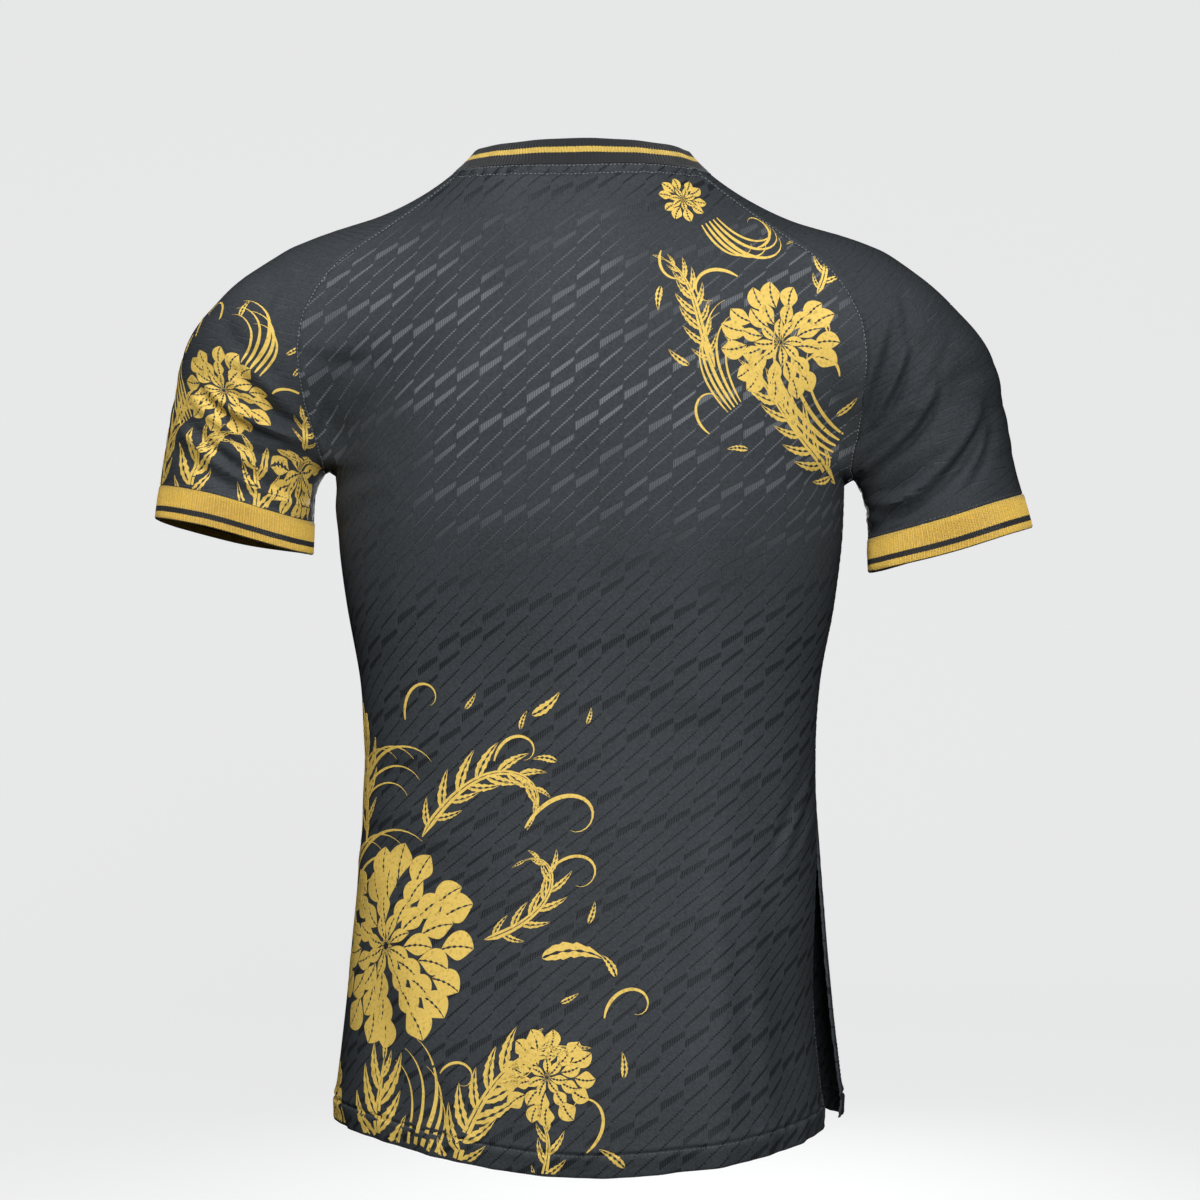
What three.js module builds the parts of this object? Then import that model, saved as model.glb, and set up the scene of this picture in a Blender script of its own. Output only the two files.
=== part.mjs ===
// A short-sleeved football jersey, filled out as if worn, with no wearer in it.
// Raglan cut: a back, a front and two sleeves that run up to the neck, with a ribbed neckband and two ribbed
// cuffs. The side seams are open at the bottom as vents, and the back hangs lower than the front.
//
// Units are millimetres. +Z is up, +Y is the way the wearer faces, so the back of the jersey faces -Y, and +X is
// the wearer's right. The origin is inside the neck opening, on the line where the shoulders carry the jersey.
//
// Every panel lies on one surface, the zero level of distanceOutside(), which joins a body, two shoulders and two
// upper arms smoothly. A panel is a grid of rows that run from one seam to the other. Neighbouring panels take
// their edges from the same seam points, so their walls meet edge to edge with a narrow gap.
import * as THREE from "three";

// ---- Driving dimensions ------------------------------------------------------------------------------------------

const WALL = 1.6; // knitted cloth, with its turnings
const RIB_WALL = 2.4; // ribbed bands are folded double
const SEAM_GAP = 0.3; // between neighbouring pieces
const NECKBAND_HEIGHT = 21;
const CUFF_HEIGHT = 24;
const HEM_SIDE_Z = -680; // hem at the side seams
const FRONT_HEM_RISE = 4; // the front hem's corners lie above the back's
const VENT_HEIGHT = 88;
const VENT_GAP = 12; // across the open vent at the hem
const UNDERARM_Z = -214;
const UNDERARM = { x: 190, openZ: -240, closedZ: -200 };
const SIDE_SEAM_TWIST = { angle: 0.14, fromZ: -400, toZ: -580 }; // the skirt hangs turned, back seam to the right

// How far the hem hangs below the side seams, from the wearer's left (across = -1) to the right.
const BACK_HEM = [
  { across: -1, drop: 0 },
  { across: -0.6, drop: 1 },
  { across: -0.4, drop: 6 },
  { across: -0.1, drop: 18 },
  { across: 0.12, drop: 22.5 },
  { across: 0.35, drop: 18.5 },
  { across: 0.6, drop: 11 },
  { across: 1, drop: 0 },
];
const FRONT_HEM = [
  { across: -1, drop: 0 },
  { across: 0, drop: 7 },
  { across: 1, drop: 0 },
];

// Grid sizes. Rows above the underarm are shared by all four panels, and so are their seam points.
const BACK_COLUMNS = 30;
const FRONT_COLUMNS = 20;
const SLEEVE_COLUMNS = 26;
const BODY_ROWS = 17;
const RAGLAN_ROWS = 17;
const SLEEVE_TUBE_ROWS = 4;
const BAND_ROWS = 2;
const END_CROWDING = 0.16; // draws a row's points towards its seams

// The body's horizontal sections: half its width, and how far it reaches to the back and to the front.
const BODY = [
  { z: -760, half: 190, back: 122, front: 112 },
  { z: -700, half: 187, back: 120, front: 112 },
  { z: -640, half: 179, back: 116, front: 110 },
  { z: -570, half: 172, back: 108, front: 108 },
  { z: -500, half: 166, back: 98, front: 105 },
  { z: -430, half: 162, back: 91, front: 103 },
  { z: -370, half: 165, back: 92, front: 106 },
  { z: -310, half: 175, back: 100, front: 113 },
  { z: -250, half: 182, back: 110, front: 119 },
  { z: -190, half: 181, back: 116, front: 118 },
  { z: -140, half: 168, back: 114, front: 108 },
  { z: -95, half: 140, back: 105, front: 88 },
  { z: -60, half: 108, back: 93, front: 70 },
  { z: -25, half: 81, back: 78, front: 58 },
  { z: 10, half: 65, back: 67, front: 51 },
  { z: 50, half: 64, back: 62, front: 50 },
  { z: 90, half: 63, back: 61, front: 50 },
];
const SECTION_POWER = 2.25; // 2 is an ellipse, and more is squarer

// Centres and radii along each shoulder and arm, from the neck outwards, for the wearer's right side.
const SHOULDER = [
  { step: 0, x: 50, y: -12, z: -65, radius: 63 },
  { step: 1, x: 130, y: -11, z: -95, radius: 64 },
  { step: 2, x: 214, y: -10, z: -130, radius: 69 },
  { step: 3, x: 237, y: -9, z: -172, radius: 63 },
  { step: 4, x: 252, y: -9, z: -215, radius: 56 },
  { step: 5, x: 257, y: -8, z: -260, radius: 57 },
  { step: 6, x: 262, y: -8, z: -320, radius: 60 },
];
const SHOULDER_STEPS = 18;
const SHOULDER_SLOPE = { x: 258, z: -85, outward: 0.68, upward: 0.73, blend: 22 }; // flattens the shoulder's corner

// How widely the arm melts into the body: hardly in the open armpit, more where its cloth closes and beside it,
// and most over the shoulder blade.
const ARMPIT_BLEND = { open: 6, openZ: -222, closed: 36, closedZ: -207, fromY: 8, toY: 60, armY: -4 };
const SHOULDER_BLADE_BLEND = { width: 62, fromZ: -200, toZ: -110 };

// The raglan seams, from the underarm (s = 0) to the neck (s = 1), and the line over the top of the shoulder that
// the sleeve's rows cross, with the centres that they turn about.
const RAGLAN = [
  { s: 0.0, back: [190, 0, -214], front: [190, 0, -214], crest: [306, -9, -205], centre: [247, -9, -208] },
  { s: 0.1, back: [191, -30, -207], front: [191, 24, -205], crest: [301, -9, -180], centre: [241, -9, -190] },
  { s: 0.19, back: [194, -50, -188], front: [192, 40, -182], crest: [294, -9, -152], centre: [234, -9, -173] },
  { s: 0.29, back: [198, -63, -163], front: [196, 50, -160], crest: [283, -9, -121], centre: [227, -10, -156] },
  { s: 0.39, back: [199, -69, -134], front: [195, 56, -136], crest: [265, -10, -92], centre: [218, -10, -141] },
  { s: 0.49, back: [192, -70, -107], front: [186, 57, -112], crest: [241, -10, -70], centre: [205, -10, -128] },
  { s: 0.615, back: [171, -66, -73], front: [166, 55, -86], crest: [203, -11, -53], centre: [180, -11, -113] },
  { s: 0.74, back: [143, -58, -48], front: [138, 51, -67], crest: [165, -11, -37], centre: [148, -12, -98] },
  { s: 0.88, back: [110, -49, -24], front: [106, 44, -50], crest: [121, -12, -18], centre: [108, -12, -84] },
  { s: 1.0, back: [80, -41, -8], front: [78, 37, -38], crest: [88, -13, -7], centre: [66, -12, -66] },
];
const BACK_NECK_DIP = 3; // the back neckline at its centre, below its corners
const FRONT_NECK_DIP = 46;

// ---- The surface -------------------------------------------------------------------------------------------------

const mix = (a, b, t) => a + (b - a) * t;
const clamp01 = (t) => Math.min(1, Math.max(0, t));
const smoothstep = (t) => clamp01(t) ** 2 * (3 - 2 * clamp01(t));
const between = (t, from, to) => smoothstep((t - from) / (to - from));

// A column of a table at key = t, by a cubic through the rows. Past the ends the end value holds.
function sample(table, key, t, read) {
  const last = table.length - 1;
  if (t <= table[0][key]) return read(table[0]);
  if (t >= table[last][key]) return read(table[last]);
  let i = 0;
  while (table[i + 1][key] < t) i++;
  const slope = (k) => {
    const [lo, hi] = [Math.max(0, k - 1), Math.min(last, k + 1)];
    return (read(table[hi]) - read(table[lo])) / (table[hi][key] - table[lo][key]);
  };
  const span = table[i + 1][key] - table[i][key];
  const w = (t - table[i][key]) / span;
  const [p, q] = [read(table[i]), read(table[i + 1])];
  const [mp, mq] = [slope(i) * span, slope(i + 1) * span];
  return p + mp * w + (3 * (q - p) - 2 * mp - mq) * w * w + (2 * (p - q) + mp + mq) * w ** 3;
}

const bodyAt = (z, column) => sample(BODY, "z", z, (row) => row[column]);

// Radial distance outside the body's section at this height.
function outsideBody(x, y, z) {
  const half = bodyAt(z, "half");
  const reach = bodyAt(z, y < 0 ? "back" : "front");
  const radius = Math.hypot(x, y);
  const scaled = (Math.abs(x / half) ** SECTION_POWER + Math.abs(y / reach) ** SECTION_POWER) ** (1 / SECTION_POWER);
  return radius - radius / Math.max(scaled, 1e-6);
}

const shoulderChain = Array.from({ length: SHOULDER_STEPS + 1 }, (_, i) => {
  const step = (i * SHOULDER[SHOULDER.length - 1].step) / SHOULDER_STEPS;
  const [x, y, z, radius] = ["x", "y", "z", "radius"].map((k) => sample(SHOULDER, "step", step, (row) => row[k]));
  return { x, y, z, radius };
});

// Distance outside the chain of round cones along the shoulder and arm, on whichever side the point is.
function outsideArm(x, y, z) {
  const side = Math.abs(x);
  let least = Infinity;
  for (let i = 0; i < SHOULDER_STEPS; i++) {
    const [a, b] = [shoulderChain[i], shoulderChain[i + 1]];
    const along = [b.x - a.x, b.y - a.y, b.z - a.z];
    const from = [side - a.x, y - a.y, z - a.z];
    const dot = from[0] * along[0] + from[1] * along[1] + from[2] * along[2];
    const t = clamp01(dot / (along[0] ** 2 + along[1] ** 2 + along[2] ** 2));
    const away = Math.hypot(from[0] - t * along[0], from[1] - t * along[1], from[2] - t * along[2]);
    least = Math.min(least, away - mix(a.radius, b.radius, t));
  }
  return least;
}

function smoothMin(a, b, blend) {
  const near = Math.max(blend - Math.abs(a - b), 0) / blend;
  return Math.min(a, b) - (near * near * blend) / 4;
}

function smoothMax(a, b, blend) {
  return -smoothMin(-a, -b, blend);
}

function distanceOutside(x, y, z) {
  const { open, openZ, closed, closedZ, fromY, toY, armY } = ARMPIT_BLEND;
  const { width, fromZ, toZ } = SHOULDER_BLADE_BLEND;
  const aside = between(Math.abs(y - armY), fromY, toY);
  const low = mix(open, closed, 1 - (1 - aside) * (1 - between(z, openZ, closedZ)));
  const blend = mix(low, width, between(z, fromZ, toZ));
  const slope = SHOULDER_SLOPE;
  const beyond = (Math.abs(x) - slope.x) * slope.outward + (z - slope.z) * slope.upward;
  const arm = smoothMax(outsideArm(x, y, z), beyond, slope.blend);
  return smoothMin(outsideBody(x, y, z), arm, blend);
}

function gradient(p) {
  const e = 0.5;
  return new THREE.Vector3(
    distanceOutside(p.x + e, p.y, p.z) - distanceOutside(p.x - e, p.y, p.z),
    distanceOutside(p.x, p.y + e, p.z) - distanceOutside(p.x, p.y - e, p.z),
    distanceOutside(p.x, p.y, p.z + e) - distanceOutside(p.x, p.y, p.z - e),
  ).divideScalar(2 * e);
}

// Slides a point along the gradient onto the surface. As level goes from 0 to 1, it keeps its height more.
function onSurface(guess, level = 0) {
  const p = guess.clone();
  for (let i = 0; i < 14; i++) {
    const g = gradient(p);
    const way = g.clone().setZ(g.z * (1 - level));
    p.addScaledVector(way, -distanceOutside(p.x, p.y, p.z) / Math.max(g.dot(way), 1e-3));
  }
  return p;
}

// ---- Seams and rows ----------------------------------------------------------------------------------------------

const mirrored = (p, side) => new THREE.Vector3(p.x * side, p.y, p.z);

// The lowest point of the cloth in the armpit, where the panels' corners meet.
function underarmPoint() {
  let [open, closed] = [UNDERARM.openZ, UNDERARM.closedZ];
  for (let i = 0; i < 30; i++) {
    const z = (open + closed) / 2;
    if (distanceOutside(UNDERARM.x, 0, z) > 0) open = z;
    else closed = z;
  }
  return new THREE.Vector3(UNDERARM.x, 0, open);
}

// A point of one of RAGLAN's lines, on the wearer's right.
function raglanLine(line, s) {
  const [x, y, z] = [0, 1, 2].map((axis) => sample(RAGLAN, "s", s, (row) => row[line][axis]));
  return new THREE.Vector3(x, y, z);
}
const raglanSeam = (line, s) => (s === 0 ? underarmPoint() : onSurface(raglanLine(line, s)));

// A row of the back (facing = -1) or front (facing = 1) below the underarm. t is 0 at the hem and 1 at the underarm.
function bodyRow(facing, columns, t) {
  const hem = facing < 0 ? BACK_HEM : FRONT_HEM;
  const hemZ = HEM_SIDE_Z + (facing < 0 ? 0 : FRONT_HEM_RISE);
  const sideZ = mix(hemZ, underarmPoint().z, t);
  const { angle, fromZ, toZ } = SIDE_SEAM_TWIST;
  const twist = angle * smoothstep((sideZ - fromZ) / (toZ - fromZ));
  return grid1(columns, (u) => {
    const z = sideZ - (1 - t) ** 2 * sample(hem, "across", u, (row) => row.drop);
    const turn = (Math.PI / 2) * u + facing * twist;
    const forward = facing * Math.cos(turn);
    const guess = new THREE.Vector3(
      bodyAt(z, "half") * Math.sin(turn),
      forward * bodyAt(z, forward < 0 ? "back" : "front"),
      z,
    );
    return onSurface(guess, 1);
  });
}

// A row of the back or front between the raglan seams. The last one is the neckline.
function raglanRow(facing, columns, s) {
  const line = facing < 0 ? "back" : "front";
  const seam = raglanSeam(line, s);
  const neckZ = raglanSeam(line, 1).z - (facing < 0 ? BACK_NECK_DIP : FRONT_NECK_DIP);
  const centreZ = mix(underarmPoint().z, neckZ, s);
  const dip = seam.z - centreZ;
  const centreY = facing * bodyAt(centreZ, line);
  const widest = mix(Math.PI / 2, facing < 0 ? 1.1 : 1.25, Math.sqrt(s));
  const bulge = (seam.y - centreY) / (1 - Math.cos(widest));
  const insideArm = mix(bodyAt(UNDERARM_Z, "half") - 4, seam.x, smoothstep(s / 0.2)); // keeps off the arm's wall
  return grid1(columns, (u) => {
    const turn = widest * u;
    const fall = (Math.cos(turn) - Math.cos(widest)) / (1 - Math.cos(widest));
    const side = Math.min((seam.x * Math.sin(turn * Math.sign(u || 1))) / Math.sin(widest), insideArm);
    const guess = new THREE.Vector3(
      Math.sign(u) * side,
      centreY + bulge * (1 - Math.cos(turn)),
      seam.z - dip * fall,
    );
    return Math.abs(u) === 1 ? mirrored(seam, u) : onSurface(guess, s);
  });
}

// A row of the right sleeve from the back seam over the shoulder to the front seam.
function sleeveArc(centre, crest, back, front) {
  const up = crest.clone().sub(centre);
  const crestRadius = up.length();
  up.normalize();
  const rear = new THREE.Vector3(0, -1, 0).addScaledVector(up, up.y).normalize();
  const along = up.clone().cross(rear);
  const ends = [back, front].map((end, i) => {
    const d = end.clone().sub(centre);
    const [a, b] = [d.dot(up), d.dot(rear)];
    const angle = Math.abs(Math.atan2(b, a));
    return { angle: i ? -angle : angle, radius: Math.hypot(a, b), along: d.dot(along) };
  });
  return grid1(SLEEVE_COLUMNS, (u) => {
    if (Math.abs(u) === 1) return (u < 0 ? back : front).clone();
    const end = ends[u < 0 ? 0 : 1];
    const share = Math.abs(u);
    const angle = end.angle * share;
    const radius = mix(crestRadius, end.radius, share ** 2);
    const guess = centre
      .clone()
      .addScaledVector(up, radius * Math.cos(angle))
      .addScaledVector(rear, radius * Math.sin(angle))
      .addScaledVector(along, end.along * share ** 3);
    return onSurface(guess);
  });
}

function sleeveRaglanRow(s) {
  return sleeveArc(raglanLine("centre", s), raglanLine("crest", s), raglanSeam("back", s), raglanSeam("front", s));
}

// A ring of the sleeve's tube, t = 0 at its bottom edge and 1 at the underarm. below is how far under that edge.
const CUFF_TOP = { outer: [309, -9, -228], inner: [199, -8, -253] };
function sleeveTubeRow(t, below = 0) {
  const outer = new THREE.Vector3(...CUFF_TOP.outer);
  const inner = new THREE.Vector3(...CUFF_TOP.inner);
  const across = outer.clone().sub(inner).normalize();
  const down = new THREE.Vector3(across.z, 0, -across.x);
  if (below) [outer, inner].forEach((p) => p.addScaledVector(down, below));
  const underarm = underarmPoint();
  const seam = onSurface(inner).lerp(underarm, t);
  const crest = outer.lerp(raglanLine("crest", 0), t);
  const centre = crest.clone().lerp(seam, 0.5);
  return sleeveArc(centre, crest, onSurface(seam), onSurface(seam));
}

// Values of row(u) for u from -1 to 1, closer together near the ends.
function grid1(columns, row) {
  return Array.from({ length: columns + 1 }, (_, i) => {
    const even = (2 * i) / columns - 1;
    return row(Math.abs(even) === 1 ? even : even * (1 + END_CROWDING) - END_CROWDING * even ** 3);
  });
}

// ---- Panels as walls ---------------------------------------------------------------------------------------------

// Draws the ends of each row back along the row, to leave half a seam's gap measured square to the seam.
function trimmed(rows, gapOf = () => SEAM_GAP / 2) {
  return rows.map((row, j) => {
    const out = row.map((p) => p.clone());
    const ends = [
      [0, 1],
      [row.length - 1, row.length - 2],
    ];
    ends.forEach(([end, next]) => {
      const seam = rows[Math.min(j + 1, rows.length - 1)][end].clone().sub(rows[Math.max(j - 1, 0)][end]);
      const inward = row[next].clone().sub(row[end]).normalize();
      const square = Math.sin(inward.angleTo(seam)) || 1;
      out[end].addScaledVector(inward, gapOf(j) / Math.max(square, 0.3));
    });
    return out;
  });
}

// The largest folds, all on the back: troughs along curves through three places, each with a ridge above it.
const FOLDS = [
  { from: [-231, -163], via: [-222, -178], to: [-203, -190], width: 9, depth: 1.6 },
  { from: [-264, -186], via: [-228, -206], to: [-193, -212], width: 9, depth: 3.2 },
  { from: [-276, -207], via: [-252, -226], to: [-222, -236], width: 9, depth: 2.8 },
  { from: [229, -109], via: [219, -140], to: [204, -176], width: 9, depth: 1.8 },
  { from: [246, -126], via: [229, -156], to: [206, -192], width: 9, depth: 2.2 },
  { from: [268, -148], via: [246, -182], to: [205, -216], width: 10, depth: 2.6 },
  { from: [291, -170], via: [268, -222], to: [203, -232], width: 10, depth: 3.0 },
  { from: [120, -455], via: [146, -580], to: [150, -670], width: 16, depth: 2.6 },
  { from: [80, -480], via: [108, -583], to: [112, -676], width: 18, depth: 1.8 },
];
const FOLD_STEPS = 16;

// How far the folds push a point of the surface outwards.
function foldHeight(p) {
  if (p.y > 0) return 0;
  let height = 0;
  for (const { from, via, to, width, depth } of FOLDS) {
    let nearest = { away: Infinity, t: 0, above: 1 };
    for (let i = 0; i <= FOLD_STEPS; i++) {
      const t = i / FOLD_STEPS;
      const [x, z] = [0, 1].map((k) => from[k] * (1 - t) ** 2 + 2 * via[k] * t * (1 - t) + to[k] * t ** 2);
      const [slopeX, slopeZ] = [0, 1].map((k) => (via[k] - from[k]) * (1 - t) + (to[k] - via[k]) * t);
      const away = Math.hypot(p.x - x, p.z - z);
      const above = Math.sign((p.x - x) * slopeZ - (p.z - z) * slopeX) * Math.sign(from[0]);
      if (away < nearest.away) nearest = { away, t, above };
    }
    const across = (nearest.away * nearest.above) / width;
    const trough = Math.exp(-(across ** 2)) - 0.55 * Math.exp(-((across - 1.5) ** 2));
    height -= depth * trough * Math.sin(Math.PI * (0.08 + 0.84 * nearest.t)) ** 0.7;
  }
  return height * smoothstep(-p.y / 20);
}

// The wearer's right shoulder is carried lower, that sleeve's cuff is turned out and back, and the neck leans left.
const SHOULDER_DROP = { down: 7, fromX: 40, toX: 170, inward: 4, cuffOut: 3, cuffFromZ: -200, cuffToZ: -265 };
const INNER_DROP = { down: 7, fromX: 310, toX: 200, fromZ: -200, toZ: -250 };
const SLEEVE_TILT = { right: 0.05, left: -0.07, aboutY: -9, fromX: 190, toX: 270 };
const NECK_LEAN = { left: 4, fromZ: -70, toZ: 0 };
function asWorn(p) {
  const { down, fromX, toX, inward, cuffOut, cuffFromZ, cuffToZ } = SHOULDER_DROP;
  const sleeve = between(Math.abs(p.x), SLEEVE_TILT.fromX, SLEEVE_TILT.toX);
  const right = p.x > 0 ? 1 : 0;
  const above = between(p.z, -420, -270);
  const turned = mix(-inward, cuffOut, between(p.z, cuffFromZ, cuffToZ)) * sleeve * right;
  const tilt = right ? SLEEVE_TILT.right : SLEEVE_TILT.left;
  const inner = between(p.x, INNER_DROP.fromX, INNER_DROP.toX) * between(p.z, INNER_DROP.fromZ, INNER_DROP.toZ);
  const lifted = tilt * (p.y - SLEEVE_TILT.aboutY) * sleeve - INNER_DROP.down * inner * between(p.x, 180, 200);
  return new THREE.Vector3(
    p.x + turned - NECK_LEAN.left * between(p.z, NECK_LEAN.fromZ, NECK_LEAN.toZ),
    p.y,
    p.z + above * (lifted - down * between(p.x, fromX, toX)),
  );
}

// A closed wall from a grid of outer points. The inner points lie along the surface's normals. A ring has its last
// column joined to its first.
function wall(name, rows, thickness, material, ring = false, proud = 0) {
  const [height, width] = [rows.length, rows[0].length];
  const positions = [];
  for (const offset of [proud, proud - thickness])
    for (const row of rows)
      for (const p of row) {
        const q = asWorn(p.clone().addScaledVector(gradient(p).normalize(), offset + foldHeight(p)));
        positions.push(q.x, q.y, q.z);
      }
  const layer = height * width;
  const at = (j, i, inner) => (inner ? layer : 0) + j * width + (i % width);
  const index = [];
  const corner = (k) => new THREE.Vector3().fromArray(positions, 3 * k);
  const quad = (a, b, c, d, turned = false) =>
    turned ? index.push(b, c, d, b, d, a) : index.push(a, b, c, a, c, d);
  const columns = ring ? width : width - 1;
  for (let j = 0; j + 1 < height; j++)
    for (let i = 0; i < columns; i++) {
      const corners = [at(j, i, 0), at(j, i + 1, 0), at(j + 1, i + 1, 0), at(j + 1, i, 0)];
      const [a, b, c, d] = corners.map(corner);
      const turned = b.distanceTo(d) < a.distanceTo(c); // both layers are split along the shorter diagonal
      quad(...corners, turned);
      quad(at(j, i, 1), at(j + 1, i, 1), at(j + 1, i + 1, 1), at(j, i + 1, 1), turned);
    }
  for (let i = 0; i < columns; i++) {
    const top = height - 1;
    quad(at(0, i, 0), at(0, i, 1), at(0, i + 1, 1), at(0, i + 1, 0));
    quad(at(top, i, 0), at(top, i + 1, 0), at(top, i + 1, 1), at(top, i, 1));
  }
  for (let j = 0; !ring && j + 1 < height; j++) {
    const end = width - 1;
    quad(at(j, 0, 0), at(j + 1, 0, 0), at(j + 1, 0, 1), at(j, 0, 1));
    quad(at(j, end, 0), at(j, end, 1), at(j + 1, end, 1), at(j + 1, end, 0));
  }
  if (signedVolume(positions, index) < 0)
    for (let k = 0; k < index.length; k += 3) [index[k + 1], index[k + 2]] = [index[k + 2], index[k + 1]];
  const geometry = new THREE.BufferGeometry();
  geometry.setAttribute("position", new THREE.Float32BufferAttribute(positions, 3));
  geometry.setIndex(index);
  geometry.computeVertexNormals();
  const mesh = new THREE.Mesh(geometry, material);
  mesh.name = name;
  return mesh;
}

function signedVolume(positions, index) {
  const corner = (k) => new THREE.Vector3().fromArray(positions, 3 * index[k]);
  let volume = 0;
  for (let k = 0; k < index.length; k += 3) volume += corner(k).dot(corner(k + 1).cross(corner(k + 2))) / 6;
  return volume;
}

// ---- The pieces --------------------------------------------------------------------------------------------------

const cloth = new THREE.MeshStandardMaterial({ color: 0x2b2e31, roughness: 0.72, metalness: 0 });
const blackRib = new THREE.MeshStandardMaterial({ color: 0x1d1e20, roughness: 0.85, metalness: 0 });
const goldRib = new THREE.MeshStandardMaterial({ color: 0xd0a33c, roughness: 0.8, metalness: 0 });

const shares = (count) => Array.from({ length: count + 1 }, (_, i) => i / count);

// Half the gap between the back and the front at each body row.
function ventGap(j) {
  const height = (j / BODY_ROWS) * (UNDERARM_Z - HEM_SIDE_Z);
  return SEAM_GAP / 2 + (VENT_GAP / 2) * smoothstep((VENT_HEIGHT - height) / VENT_HEIGHT);
}

function bodyPanel(name, facing, columns) {
  const rows = [
    ...shares(BODY_ROWS).slice(0, -1).map((t) => bodyRow(facing, columns, t)),
    ...shares(RAGLAN_ROWS).map((s) => raglanRow(facing, columns, s)),
  ];
  return { rows, mesh: wall(name, trimmed(rows, ventGap), WALL, cloth) };
}

function sleevePanel(name, side) {
  const rows = [
    ...shares(SLEEVE_TUBE_ROWS).slice(0, -1).map((t) => sleeveTubeRow(t)),
    ...shares(RAGLAN_ROWS).map((s) => sleeveRaglanRow(s)),
  ].map((row) => row.map((p) => mirrored(p, side)));
  return { rows, mesh: wall(name, trimmed(rows), WALL, cloth) };
}

// A cuff: a ring that carries the sleeve's bottom edge on by CUFF_HEIGHT.
function cuff(name, side) {
  const rows = shares(BAND_ROWS).map((t) => {
    const ring = sleeveTubeRow(0, SEAM_GAP + CUFF_HEIGHT * t).slice(0, -1);
    return ring.map((p) => mirrored(p, side));
  });
  return wall(name, rows, RIB_WALL, goldRib, true, 0.4);
}

// The neckband: a ring that starts on the panels' top edges and climbs the surface towards the neck.
function neckband(back, front, left, right) {
  const top = (panel) => panel.rows[panel.rows.length - 1];
  const seam = [
    ...top(back).slice(0, -1),
    ...top(right).slice(0, -1),
    ...[...top(front)].reverse().slice(0, -1),
    ...[...top(left)].reverse().slice(0, -1),
  ];
  const climb = (from, distance) => {
    let p = from.clone();
    const steps = 4;
    for (let i = 0; i < steps; i++) {
      const n = gradient(p).normalize();
      const up = new THREE.Vector3(0, 0, 1).addScaledVector(n, -n.z).normalize();
      p = onSurface(p.addScaledVector(up, distance / steps));
    }
    return p;
  };
  const rows = shares(BAND_ROWS).map((t) => seam.map((p) => climb(p, SEAM_GAP + NECKBAND_HEIGHT * t)));
  return wall("neckband", rows, RIB_WALL, blackRib, true, 0.4);
}

const back = bodyPanel("back", -1, BACK_COLUMNS);
const front = bodyPanel("front", 1, FRONT_COLUMNS);
const sleeveLeft = sleevePanel("sleeve_left", -1);
const sleeveRight = sleevePanel("sleeve_right", 1);

const jersey = new THREE.Group();
jersey.name = "football_jersey";
jersey.add(back.mesh, front.mesh, sleeveLeft.mesh, sleeveRight.mesh);
jersey.add(cuff("cuff_left", -1), cuff("cuff_right", 1));
jersey.add(neckband(back, front, sleeveLeft, sleeveRight));

export default jersey;
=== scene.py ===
"""Dresses the football jersey: knitted panels with a dash pattern, ribbed bands, a gold print and its sewing.

Lengths are millimetres in the shared frame of the part, and turn into metres only when a mesh is made. The
jersey's back faces -Y, +Z is up, and +X is the wearer's right.
"""

from __future__ import annotations

import logging
import math
from dataclasses import dataclass, field
from enum import Enum
from typing import Sequence

import bpy
import numpy as np
from mathutils import Matrix


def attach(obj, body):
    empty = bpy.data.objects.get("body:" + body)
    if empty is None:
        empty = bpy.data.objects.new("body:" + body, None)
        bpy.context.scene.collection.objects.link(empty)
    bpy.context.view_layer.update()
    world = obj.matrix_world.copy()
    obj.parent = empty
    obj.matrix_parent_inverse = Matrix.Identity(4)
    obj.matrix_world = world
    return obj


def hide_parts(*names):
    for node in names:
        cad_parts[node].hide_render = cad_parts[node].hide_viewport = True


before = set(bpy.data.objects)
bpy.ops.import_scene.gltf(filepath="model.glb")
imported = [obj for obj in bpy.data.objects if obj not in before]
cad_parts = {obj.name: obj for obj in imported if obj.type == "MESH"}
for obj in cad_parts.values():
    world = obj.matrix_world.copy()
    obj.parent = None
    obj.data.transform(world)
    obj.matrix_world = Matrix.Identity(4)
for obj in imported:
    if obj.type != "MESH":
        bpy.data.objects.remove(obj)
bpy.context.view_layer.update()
MM = 0.001
BODY = "root"
Array = np.ndarray
Material = bpy.types.Material
Piece = bpy.types.Object
log = logging.getLogger("jersey")


# ---- Small numeric helpers ----


def mix(a: Array | float, b: Array | float, t: Array | float) -> Array:
    """Goes straight from a at t = 0 to b at t = 1."""
    return a + (b - a) * t


def smooth(t: Array | float) -> Array:
    """Rises from 0 to 1 with level ends: the square of t times three less twice t."""
    t = np.clip(t, 0.0, 1.0)
    return t * t * (3 - 2 * t)


def between(t: Array | float, low: float, high: float) -> Array:
    """The smooth rise from 0 at low to 1 at high."""
    return smooth((np.asarray(t) - low) / (high - low))


def unit(v: Array) -> Array:
    """The vectors at length one."""
    return v / np.maximum(np.linalg.norm(v, axis=-1, keepdims=True), 1e-9)


def dot(a: Array, b: Array) -> Array:
    """The dot product along the last axis."""
    return (a * b).sum(axis=-1)


def arc_lengths(points: Array, axis: int) -> Array:
    """Distance run along a line of points, starting from 0.

    Args:
        points: Points, with x, y and z on the last axis.
        axis: The axis that the line runs along.

    Returns:
        The running sum of the distances between neighbours.
    """
    steps = np.linalg.norm(np.diff(points, axis=axis), axis=-1)
    first = np.zeros_like(np.take(steps, [0], axis=axis))
    return np.cumsum(np.concatenate([first, steps], axis=axis), axis=axis)


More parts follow.
